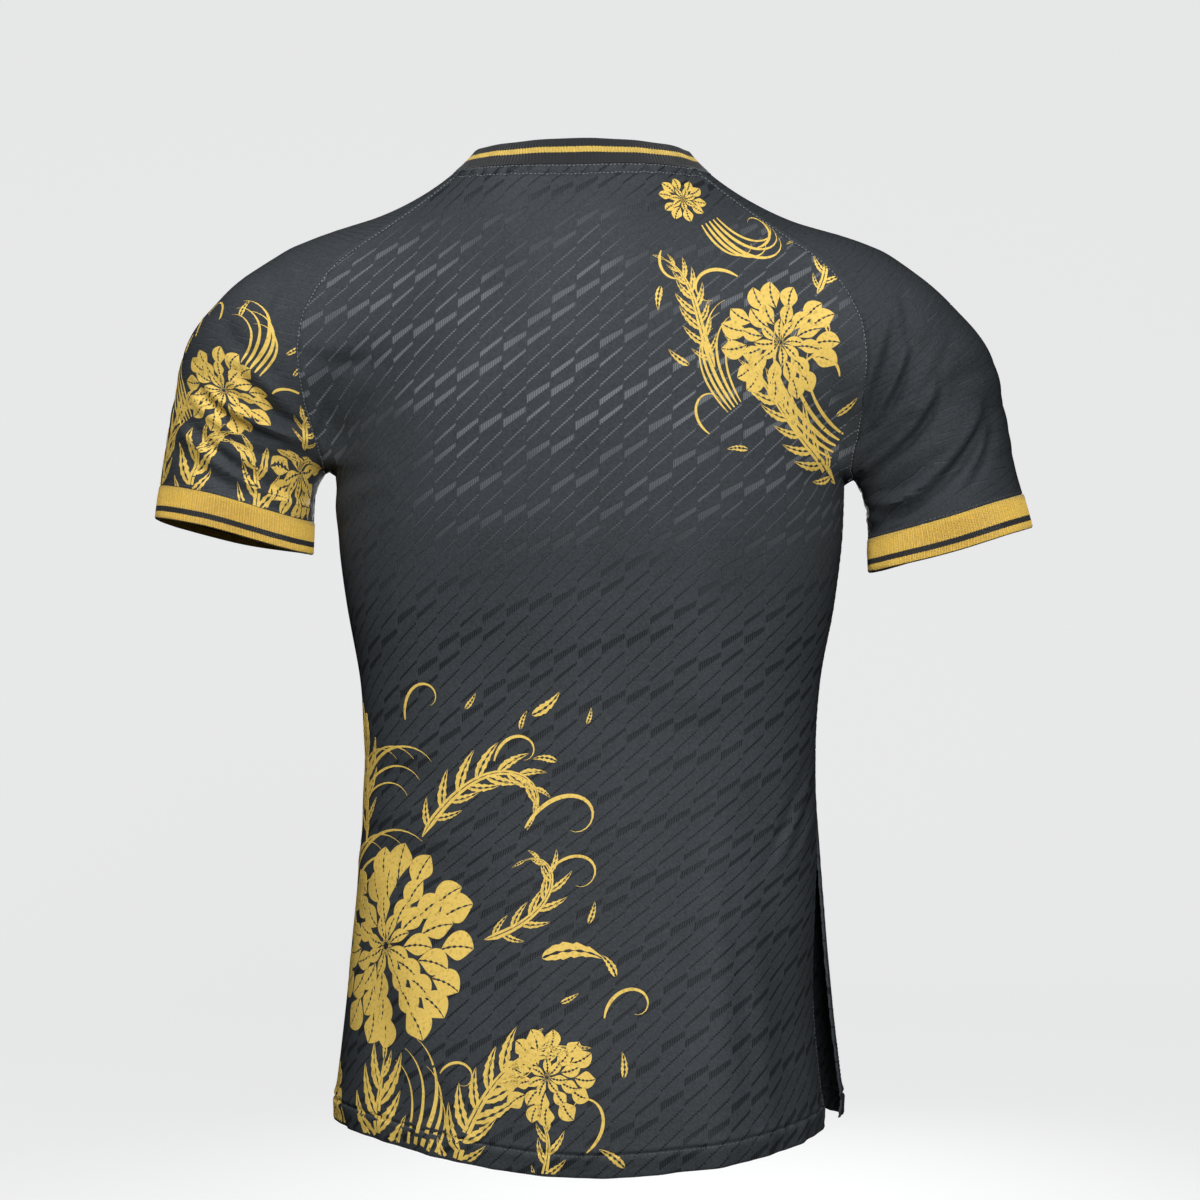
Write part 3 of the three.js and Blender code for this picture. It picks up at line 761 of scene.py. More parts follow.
class Panel:
    """One cut piece of cloth as a fine grid of points, with its grain in millimetres."""

    def __init__(
        self, name: str, cut: BodyCut | SleeveCut, u: Array, v: Array, cloth: Cloth, side: float = 1.0
    ) -> None:
        """Works the panel out.

        Args:
            name: The piece's name.
            cut: Its rows.
            u: Places across the panel, from -1 to 1.
            v: Places along it, from 0 to 2.
            cloth: How it lies.
            side: 1, or -1 for the mirrored sleeve.
        """
        self.name, self.cloth, self.v = name, cloth, v
        grid_v = v[:, None]
        gap = self.gaps(v) if isinstance(cut, BodyCut) else np.full(len(v), HALF_SEAM)
        rough = np.linspace(-1, 1, 13)[None] * np.ones_like(grid_v)
        reach = arc_lengths(cut.points(rough, grid_v), 1)[:, -1] / 2
        share = 1 - gap / np.maximum(reach, 1)
        self.u = u
        base = cut.points(u[None] * share[:, None], grid_v)
        self.normal_flat = mirrored(FORM.normal(base), side)
        self.base = mirrored(base, side)
        self.grain = self.lay_grain(isinstance(cut, BodyCut))
        lift = self.heights()
        self.outer = WEAR.put_on(self.base + self.normal_flat * lift[..., None])
        self.inner = WEAR.put_on(self.base + self.normal_flat * (lift - cloth.wall)[..., None])
        self.normal = self.true_normals()

    @staticmethod
    def gaps(v: Array) -> Array:
        """Half the gap at the side seams, which grows towards the hem where the vent opens."""
        height = v * (UNDERARM_Z - HEM_SIDE_Z)
        return HALF_SEAM + np.where(v < 1, VENT_OPEN * smooth((VENT_HEIGHT - height) / VENT_HEIGHT), 0)

    def lay_grain(self, upright: bool) -> Array:
        """The grain: millimetres across and along the cloth.

        On the body, each row is summed from its middle in steps measured along the level direction of the
        surface and along the one that climbs it. On a sleeve, across is the run along the row from the crest,
        and along is the run of the crest. Both start from the underarm's height.

        Args:
            upright: True on the body.

        Returns:
            Across and along, on a new last axis.
        """
        middle = len(self.u) // 2
        if upright:
            climb = unit(np.array([0.0, 0.0, 1.0]) - self.normal_flat * self.normal_flat[..., 2:3])
            level = np.cross(self.normal_flat, climb)
            level = level * np.sign(level[:, middle : middle + 1, :1])
            step = np.diff(self.base, axis=1)
            parts = []
            for way in (level, climb):
                moved = dot(step, (way[:, 1:] + way[:, :-1]) / 2)
                run = np.concatenate([np.zeros((len(step), 1)), np.cumsum(moved, axis=1)], axis=1)
                parts.append(run - run[:, middle : middle + 1])
            across, along = parts
            rise = arc_lengths(self.base[:, middle], 0)
            along = along + rise[:, None]
        else:
            across = arc_lengths(self.base, 1)
            across = across - across[:, middle : middle + 1]
            rise = arc_lengths(self.base[:, middle], 0)
            along = np.broadcast_to(rise[:, None], across.shape)
        start = np.interp(UNDERARM_Z, self.base[:, middle, 2], rise)
        return np.stack([across, along - start + UNDERARM_Z], axis=-1)

    def heights(self) -> Array:
        """How far the cloth lies off the form: its creases, the relief of its sewn edges and slow waves.

        Returns:
            The heights.
        """
        cloth, p = self.cloth, self.base
        lift = np.zeros(p.shape[:-1])
        for crease in cloth.creases:
            lift += crease.height(p)
        if cloth.facing:
            lift *= smooth(cloth.facing * p[..., 1] / 20)
        lift += self.seam_relief()
        if cloth.hem_depth:
            lift += self.hem_relief()
        if cloth.vent_tuck:
            lift += self.vent_relief()
        if cloth.neck_stitch:
            lift += self.neck_relief()
        slow = np.sin(p[..., 0] / 19 + p[..., 2] / 41) * np.sin(p[..., 2] / 33 - p[..., 0] / 57 + 0.8)
        finer = np.sin(p[..., 0] / 9.5 - p[..., 2] / 14.5 + 2.2) * np.sin(p[..., 2] / 21 + p[..., 0] / 26)
        return lift + 0.26 * slow + 0.1 * finer

    def seam_relief(self) -> Array:
        """The roll into the side and raglan seams, a puff beside it and puckers along it.

        Returns:
            The heights.
        """
        run = arc_lengths(self.base, 1)
        edge = np.minimum(run, run[:, -1:] - run)
        along = arc_lengths(self.base[:, -1], 0)[:, None]
        sink = Bell(0.0, self.cloth.seam_width, -self.cloth.seam_sink).at(edge)
        pucker = Bell(0.0, 5.5, self.cloth.pucker).at(edge) * swaying_sine(along, 0.83, 1.7, 0.11)
        return sink + SEAM_PUFF.at(edge) + pucker

    def hem_relief(self) -> Array:
        """The turned-up hem: thicker below its stitch line, a puckered groove, with a rolled, wavy edge.

        Returns:
            The heights.
        """
        up, depth, across = arc_lengths(self.base, 0), self.cloth.hem_depth, self.grain[..., 0]
        line = up - depth
        lift = HEM_STEP * smooth((depth - up + 0.8) / 1.6) + HEM_GROOVE.at(line) + HEM_PUFF.at(line)
        lift += HEM_EDGE.at(up) - HEM_ROLL * smooth(1 - up / depth)
        lift += HEM_PUCKER.at(line) * swaying_sine(across, 0.42, 2.0, 0.07)
        waves = np.sin(across * 0.16 + 0.6) + 0.7 * np.sin(across * 0.093 + 2.1) + 0.5 * np.sin(across * 0.31)
        return lift + Bell(0.0, 11.0, self.cloth.hem_curl).at(up) * waves

    def vent_relief(self) -> Array:
        """The right edge's inward hang above the hem, with a bulge and a hollow beside it.

        Returns:
            The heights.
        """
        x, z = self.base[..., 0], self.base[..., 2]
        tuck = self.cloth.vent_tuck * between(x, *VENT_TURN)
        return (VENT_BULGE.at(x) + VENT_HOLLOW.at(x) - tuck) * between(z, *VENT_HANG)

    def neck_relief(self) -> Array:
        """The stitch line under the neck seam: a groove, and puckers over it.

        Returns:
            The heights.
        """
        climbed, across = arc_lengths(self.base, 0), self.grain[..., 0]
        down = climbed[-1:] - climbed - self.cloth.neck_stitch
        ripple = swaying_sine(across, 0.66, 1.3, 0.05) + 0.5 * np.sin(across * 0.41 + 1.0)
        return NECK_GROOVE.at(down) + NECK_PUCKER.at(down) * ripple

    def true_normals(self) -> Array:
        """The outward direction of the finished outer side, square to its rows and columns.

        Returns:
            The directions.
        """
        du = np.gradient(self.outer, axis=1)
        dv = np.gradient(self.outer, axis=0)
        n = unit(np.cross(du, dv))
        return n * np.sign(dot(n, self.normal_flat))[..., None]

    def read(self, table: Array, u: Array, v: Array) -> Array:
        """A table of this grid between its points, straight from one to the next.

        Args:
            table: Values at the grid's points.
            u: Where to read, across.
            v: And along.

        Returns:
            The values.
        """
        i = np.clip(np.searchsorted(self.u, u) - 1, 0, len(self.u) - 2)
        j = np.clip(np.searchsorted(self.v, v) - 1, 0, len(self.v) - 2)
        a = ((u - self.u[i]) / (self.u[i + 1] - self.u[i]))[..., None]
        b = ((v - self.v[j]) / (self.v[j + 1] - self.v[j]))[..., None]
        return mix(mix(table[j, i], table[j, i + 1], a), mix(table[j + 1, i], table[j + 1, i + 1], a), b)

    def locate(self, across: Array, along: Array) -> tuple[Array, Array]:
        """Finds places by their grain, by steps that each move by the miss over the local stretch.

        Args:
            across: Millimetres across the cloth.
            along: Millimetres along it.

        Returns:
            The places' u and v.
        """
        middle = len(self.u) // 2
        v = np.interp(along, self.grain[:, middle, 1], self.v)
        u = across / 200.0
        e, share, least = 0.004, 0.9, 20  # the trial step, the share of a miss to go and the least stretch
        for _ in range(14):
            u, v = np.clip(u, -0.995, 0.995), np.clip(v, e, 2 - e)
            here = self.read(self.grain, u, v)
            right = (self.read(self.grain, u + e, v) - here)[..., 0] / e
            up = (self.read(self.grain, u, v + e) - here)[..., 1] / e
            u = u + share * (across - here[..., 0]) / np.maximum(right, least)
            v = v + share * (along - here[..., 1]) / np.maximum(up, least)
        return np.clip(u, -0.995, 0.995), np.clip(v, e, 2 - e)


def steps_across(count: int) -> Array:
    """Places from -1 to 1, with a few more close to each end for the roll into the seam.

    Args:
        count: How many steps there are apart from those.

    Returns:
        The places.
    """
    places = crowd(np.linspace(-1, 1, count + 1))
    ends = 1 - np.array([0.003, 0.007, 0.013])
    inner = places[np.abs(places) < 0.982]
    return np.concatenate([[-1.0], -ends, inner, ends[::-1], [1.0]])


def steps_along(below: int, above: int, fine: Sequence[float] = (), length: float = 466.0) -> Array:
    """Places from 0 at the lower edge past 1 at the underarm to 2 at the neck.

    Args:
        below: Rows under the underarm.
        above: Rows over it.
        fine: Heights in millimetres of extra rows by the lower edge.
        length: How many millimetres v = 0 to 1 is.

    Returns:
        The places.
    """
    low, high = np.linspace(0, 1, below + 1)[:-1], np.linspace(1, 2, above + 1)
    if len(fine):
        close = np.asarray(fine) / length
        low = np.concatenate([close, low[low > close[-1] + 1 / length]])
        close = 2 - np.asarray(NECK_ROWS[::-1]) / NECK_LENGTH
        high = np.concatenate([high[high < close[0] - 0.005], close])
    return np.concatenate([low, high])


# ---- Meshes ----


def new_piece(
    name: str, points: Array, faces: Array, grain: Array, material: Material, crease_angle: float = 55
) -> Piece:
    """Makes an object from arrays, facing outwards.

    Args:
        name: The piece's name.
        points: Its points in millimetres.
        faces: Corner indices, 3 or 4 to a face.
        grain: Cloth coordinates in millimetres for each corner of each face.
        material: Its finish.
        crease_angle: Edges sharper than this many degrees stay crisp.

    Returns:
        The object, linked to the scene.
    """
    a, b, c = (points[faces[:, k]] for k in (0, 1, 2))
    volume = dot(a, np.cross(b, c)).sum()
    if faces.shape[1] == 4:
        volume += dot(a, np.cross(c, points[faces[:, 3]])).sum()
    if volume < 0:
        faces, grain = faces[:, ::-1], grain[:, ::-1]
    mesh = bpy.data.meshes.new(name)
    mesh.vertices.add(len(points))
    mesh.vertices.foreach_set("co", (points * MM).astype(np.float32).ravel())
    mesh.loops.add(faces.size)
    mesh.loops.foreach_set("vertex_index", faces.astype(np.int32).ravel())
    mesh.polygons.add(len(faces))
    mesh.polygons.foreach_set("loop_start", np.arange(len(faces), dtype=np.int32) * faces.shape[1])
    mesh.update(calc_edges=True)
    layer = mesh.uv_layers.new(name="grain")
    layer.data.foreach_set("uv", (grain * MM).astype(np.float32).ravel())
    mesh.validate()
    mesh.shade_smooth()
    mesh.set_sharp_from_angle(angle=math.radians(crease_angle))
    mesh.materials.append(material)
    piece = bpy.data.objects.new(name, mesh)
    bpy.context.scene.collection.objects.link(piece)
    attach(piece, BODY)
    log.info("%s: %d faces", name, len(faces))
    return piece


def quads(rows: int, columns: int, ring: bool = False, closed: bool = False) -> Array:
    """Corner indices of a grid's cells.

    Args:
        rows: How many rows of points.
        columns: How many points a row has.
        ring: True if the last column joins the first.
        closed: True if the last row joins the first.

    Returns:
        One row of four indices for each cell.
    """
    j = np.arange(rows if closed else rows - 1)[:, None]
    i = np.arange(columns if ring else columns - 1)[None]
    up, right = (j + 1) % rows, (i + 1) % columns
    cells = [j * columns + i, j * columns + right, up * columns + right, up * columns + i]
    return np.stack(np.broadcast_arrays(*cells), axis=-1).reshape(-1, 4)


def wall_piece(panel: Panel, material: Material) -> Piece:
    """A panel's closed wall: its outer side, its inner side turned round, and a rim between their edges.

    Args:
        panel: The panel.
        material: Its finish.

    Returns:
        The object.
    """
    rows, columns = panel.outer.shape[:2]
    layer = rows * columns
    outer = quads(rows, columns)
    index = np.arange(layer).reshape(rows, columns)
    edge = np.concatenate([index[0], index[1:, -1], index[-1, -2::-1], index[-2:0:-1, 0]])
    nxt = np.roll(edge, -1)
    rim = np.stack([edge, edge + layer, nxt + layer, nxt], axis=-1)
    faces = np.concatenate([outer, outer[:, ::-1] + layer, rim])
    points = np.concatenate([panel.outer.reshape(-1, 3), panel.inner.reshape(-1, 3)])
    grain = np.concatenate([panel.grain.reshape(-1, 2)] * 2)[faces]
    return new_piece(panel.name, points, faces, grain, material)


@dataclass
class Band:
    """A folded rib band: a ring whose section climbs outside, turns over at the top and comes down inside."""

    height: float
    wales: int
    wall: float = 2.4
    proud: float = 0.4
    rib_depth: float = 0.32
    per_wale: int = 6

    def rings(self) -> Array:
        """Heights at which the form is needed, from the seam's upper side."""
        return np.linspace(2 * HALF_SEAM, self.height + 2 * HALF_SEAM, 13)

    def piece(self, name: str, base: Array, normal: Array, side: float, material: Material) -> Piece:
        """Builds the ring.

        The offset from the form is half the wall to each side of its middle, plus a rib that is a cosine of
        the place along the ring, and fades at both edges.

        Args:
            name: The piece's name.
            base: Points of the form at each ring height.
            normal: The outward directions there.
            side: 1, or -1 for the mirrored cuff.
            material: Its finish.

        Returns:
            The object.
        """
        levels = self.rings()
        half = self.wall / 2
        top = levels[-1] - half
        straight = np.linspace(levels[0], top, len(levels))
        turn = np.linspace(0, np.pi, 7)[1:-1]
        height = np.concatenate([straight, top + half * np.sin(turn), straight[::-1]])
        flat = 0 * straight
        offset = np.concatenate([flat + half, half * np.cos(turn), flat - half]) + self.proud - half
        count = base.shape[1]
        place = np.arange(count) / count
        ease = smooth((height - levels[0]) / 1.6) * smooth((top + 0.7 * half - height) / 1.0)
        outward = np.sign(offset - self.proud + half)
        rib = self.rib_depth * np.cos(2 * np.pi * self.wales * place)[None] * (ease * outward)[:, None]
        sag = 0.25 * np.sin(2 * np.pi * place * 7 + 1) + 0.2 * np.sin(2 * np.pi * place * 17 + 2.4)
        k = np.clip(np.searchsorted(levels, height) - 1, 0, len(levels) - 2)
        share = ((height - levels[k]) / (levels[k + 1] - levels[k]))[:, None, None]
        at, out = mix(base[k], base[k + 1], share), unit(mix(normal[k], normal[k + 1], share))
        lift = offset[:, None] + rib + sag[None] * smooth((height - 2) / 8)[:, None]
        points = WEAR.put_on(mirrored(at + out * lift[..., None], side))
        run = arc_lengths(np.concatenate([base[6], base[6, :1]]), 0)
        faces = quads(len(height), count, ring=True, closed=True)
        j = np.arange(len(height))[:, None] * np.ones(count, dtype=int)
        i = np.arange(count)[None] * np.ones((len(height), 1), dtype=int)
        across = np.stack([run[i], run[i + 1], run[i + 1], run[i]], axis=-1)
        up = np.append(height, height[0])
        along = np.stack([up[j], up[j], up[j + 1], up[j + 1]], axis=-1)
        grain = np.stack([across, along - levels[0]], axis=-1).reshape(-1, 4, 2)
        return new_piece(name, points.reshape(-1, 3), faces, grain, material)


def even_ring(points: Array, count: int) -> Array:
    """Places evenly spaced round a closed line, by length.

    Args:
        points: The line's points.
        count: How many places.

    Returns:
        The places' points.
    """
    loop = np.concatenate([points, points[:1]])
    run = arc_lengths(loop, 0)
    at = np.linspace(0, run[-1], count, endpoint=False)
    return np.stack([np.interp(at, run, loop[:, k]) for k in range(3)], axis=-1)


def neck_rings(band: Band, back: BodyCut, front: BodyCut, sleeve: SleeveCut) -> tuple[Array, Array]:
    """Rings that start on the panels' top edges and climb the form, each a short way on from the last.

    Args:
        band: The neckband.
        back: The cuts that it is sewn to.
        front: As back.
        sleeve: As back.

    Returns:
        The points of each ring and their outward directions.
    """
    u = np.linspace(-1, 1, 81)[None]
    s = np.ones((1, 1))
    rear, fore, arm = (cut.above(u * np.ones((1, 1)), s)[0] for cut in (back, front, sleeve))
    other = mirrored(arm, -1.0)
    seam = np.concatenate([rear[:-1], arm[:-1], fore[::-1][:-1], other[::-1][:-1]])
    p = even_ring(seam, band.wales * band.per_wale)
    levels, rings, height = band.rings(), [], 0.0
    for level in levels:
        n = FORM.normal(p)
        up = unit(np.array([0.0, 0.0, 1.0]) - n * n[..., 2:3])
        p = FORM.settle(p + up * (level - height), rounds=3)
        height = level
        rings.append(p)
    base = np.stack(rings)
    return base, FORM.normal(base)


def cuff_rings(band: Band, sleeve: SleeveCut) -> tuple[Array, Array]:
    """Rings that carry the sleeve's bottom edge on, with the places on each evenly spaced by length.

    Args:
        band: The cuff.
        sleeve: The cut that it is sewn to.

    Returns:
        The points of each ring and their outward directions.
    """
    levels = band.rings()[:, None]
    u = np.linspace(-1, 1, 241)[None] * np.ones_like(levels)
    rows = sleeve.tube(u, np.zeros_like(levels), levels)
    count = band.wales * band.per_wale
    base = np.stack([even_ring(row[:-1], count) for row in rows])
    base = FORM.settle(base, rounds=2)
    return base, FORM.normal(base)


# ---- Sewing ----


@dataclass
class Thread:
    """Stitches as small spindles laid along lines on the cloth."""

    pitch: float = 2.9
    length: float = 1.9
    width: float = 0.55
    height: float = 0.3

    def spindle(self) -> tuple[Array, Array]:
        """One stitch: rings of five points between two tips, its ends tapered.

        Returns:
            Its points as along, sideways and up, and its triangles.
        """
        along = np.array([-0.32, 0.0, 0.32])[:, None] * self.length
        size = np.array([0.8, 1.0, 0.8])[:, None]
        turn = np.linspace(0, 2 * np.pi, 5, endpoint=False) + np.pi / 10
        rise = 0.1  # of the rings' middle, which the tips lie as far under
        sideways, up = size * np.cos(turn) * self.width / 2, size * np.sin(turn) * self.height + rise
        ring = np.stack([along + 0 * turn, sideways, up], axis=-1).reshape(-1, 3)
        tips = np.array([[-self.length / 2, 0, -rise], [self.length / 2, 0, -rise]])
        i = np.arange(5)
        j = (i + 1) % 5
        tri = [np.stack([np.full(5, 15), j, i], -1), np.stack([np.full(5, 16), 10 + i, 10 + j], -1)]
        for k in (0, 5):
            tri += [np.stack([k + i, k + j, k + 5 + j], -1), np.stack([k + i, k + 5 + j, k + 5 + i], -1)]
        return np.concatenate([ring, tips]), np.concatenate(tri)

    def run(self, line: Array, normal: Array) -> tuple[Array, Array]:
        """Stitches evenly spaced along a line.

        Args:
            line: Points along it.
            normal: The cloth's outward directions there.

        Returns:
            The stitches' points, and each one's triangles.
        """
        length = arc_lengths(line, 0)
        at = np.arange(self.pitch / 2, length[-1], self.pitch)

        def read(table: Array, place: Array) -> Array:
            """The table's rows at distances along the line."""
            return np.stack([np.interp(place, length, table[:, k]) for k in range(3)], axis=-1)

        centre, up = read(line, at), unit(read(normal, at))
        way = unit(read(line, at + 0.8) - read(line, at - 0.8))
        across = unit(np.cross(up, way))
        shape, tri = self.spindle()
        points = centre[:, None] + sum(
            shape[None, :, k, None] * axis[:, None] for k, axis in enumerate((way, across, up))
        )
        faces = tri[None] + (np.arange(len(at)) * len(shape))[:, None, None]
        return points.reshape(-1, 3), faces.reshape(-1, 3)

    def piece(self, name: str, lines: Sequence[tuple[Array, Array]], material: Material) -> Piece:
        """All stitches of several lines as one object.

        Args:
            name: The piece's name.
            lines: Each line's points and outward directions.
            material: Its finish.

        Returns:
            The object.
        """
        points, faces, start = [], [], 0
        for line, normal in lines:
            p, f = self.run(line, normal)
            points.append(p)
            faces.append(f + start)
            start += len(p)
        corners = np.concatenate(faces)
        return new_piece(name, np.concatenate(points), corners, np.zeros(corners.shape + (2,)), material)


def along_edge(panel: Panel, u: float, low: float, high: float, lift: float) -> tuple[Array, Array]:
    """A line up a panel at one u.

    Args:
        panel: The panel.
        u: Where the line is, across.
        low: The v that it starts at.
        high: The v that it ends at.
        lift: How far it lies off the cloth.

    Returns:
        Its points, lifted off the cloth, and the outward directions there.
    """
    v = np.linspace(low, high, 240)
    places = np.full_like(v, u)
    n = unit(panel.read(panel.normal, places, v))
    return panel.read(panel.outer, places, v) + n * lift, n


def along_row(panel: Panel, away: float, top: bool, span: float, lift: float = 0.1) -> tuple[Array, Array]:
    """A line across a panel, a distance from its lower or upper edge.

    Args:
        panel: The panel.
        away: The distance.
        top: True to measure it from the upper edge.
        span: The u that it reaches to both sides.
        lift: How far it lies off the cloth.

    Returns:
        Its points, lifted off the cloth, and the outward directions there.
    """
    run = arc_lengths(panel.outer, 0)
    if top:
        run = run[-1:] - run
    u = np.linspace(-span, span, 400)
    column = np.clip(np.searchsorted(panel.u, u) - 1, 0, len(panel.u) - 2)
    order = slice(None, None, -1) if top else slice(None)
    v = np.array([np.interp(away, run[order, c], panel.v[order]) for c in column])
    kernel = np.ones(5) / 5
    v[2:-2] = np.convolve(v, kernel, mode="valid")
    n = unit(panel.read(panel.normal, u, v))
    return panel.read(panel.outer, u, v) + n * lift, n


TURNED_IN = 3.6  # how far an allowance goes past its edge
TURNED_WALL = 0.7
TURNED_AWAY = (0.12, 0.3)  # how far under the cloth it lies at the edge, and beyond it
TURNED_FROM = 0.975  # the u that it starts at


def allowance(name: str, edges: Sequence[tuple[Panel, float, float, float]], material: Material) -> Piece:
    """The overlocked seam allowances, which close the seams from inside.

    Each is a ribbon along a panel's edge. It starts a few millimetres in from the edge, just under the
    cloth's inner side, and goes as far past the edge in the same direction, its own wall under it.

    Args:
        name: The piece's name.
        edges: The panels, their edge's u, and the v that each ribbon starts and ends at.
        material: Its finish.

    Returns:
        The object.
    """
    points, faces, grain = [], [], []
    for k, (panel, side, low, high) in enumerate(edges):
        v = np.linspace(low, high, 220)
        edge, inside = (panel.read(panel.inner, np.full_like(v, side * u), v) for u in (1.0, TURNED_FROM))
        down = -unit(panel.read(panel.normal, np.full_like(v, side * TURNED_FROM), v))
        ruffle = 0.25 * np.sin(np.arange(len(v)) * 0.9)[:, None]
        under, beyond = down * TURNED_AWAY[0], down * TURNED_AWAY[1]
        rail = [inside + under, edge + under, edge + unit(edge - inside) * (TURNED_IN + ruffle) + beyond]
        ring = np.stack(rail + [q + down * TURNED_WALL for q in rail[::-1]], axis=1)
        cells = quads(len(v), 6, ring=True)
        caps = np.array([[0, 1, 4, 5], [1, 2, 3, 4]])
        last = (len(v) - 1) * 6
        loop = np.concatenate([cells, caps[:, ::-1], caps + last])
        volume = dot(ring[0, 1] - ring[0, 0], np.cross(ring[0, 5] - ring[0, 0], ring[1, 0] - ring[0, 0]))
        points.append(ring.reshape(-1, 3))
        faces.append((loop if volume < 0 else loop[:, ::-1]) + k * len(v) * 6)
        grain.append(np.repeat(arc_lengths(edge, 0), 6))
    corners = np.concatenate(faces)
    along = np.concatenate(grain)[corners]
    return new_piece(name, np.concatenate(points), corners, np.stack([along, along], axis=-1), material)


# ---- The gold print ----


@dataclass(frozen=True)
class Spray:
    """A spray of the print: a bending stem, with pointed leaves on both sides that shrink towards its tip."""

    across: float  # its root's place on the cloth
    along: float
    heading: float  # degrees from the across direction
    length: float
    bend: float  # degrees that the stem turns
    curl: float  # degrees more that its tip turns
    stem: float  # half its width at the root
    leaves: int  # on each side
    leaf: float  # the longest one's length
    spread: float = 58.0


def rays(turn: Array) -> Array:
    """Directions on the cloth at angles in degrees."""
    return np.stack([np.cos(np.radians(turn)), np.sin(np.radians(turn))], axis=-1)


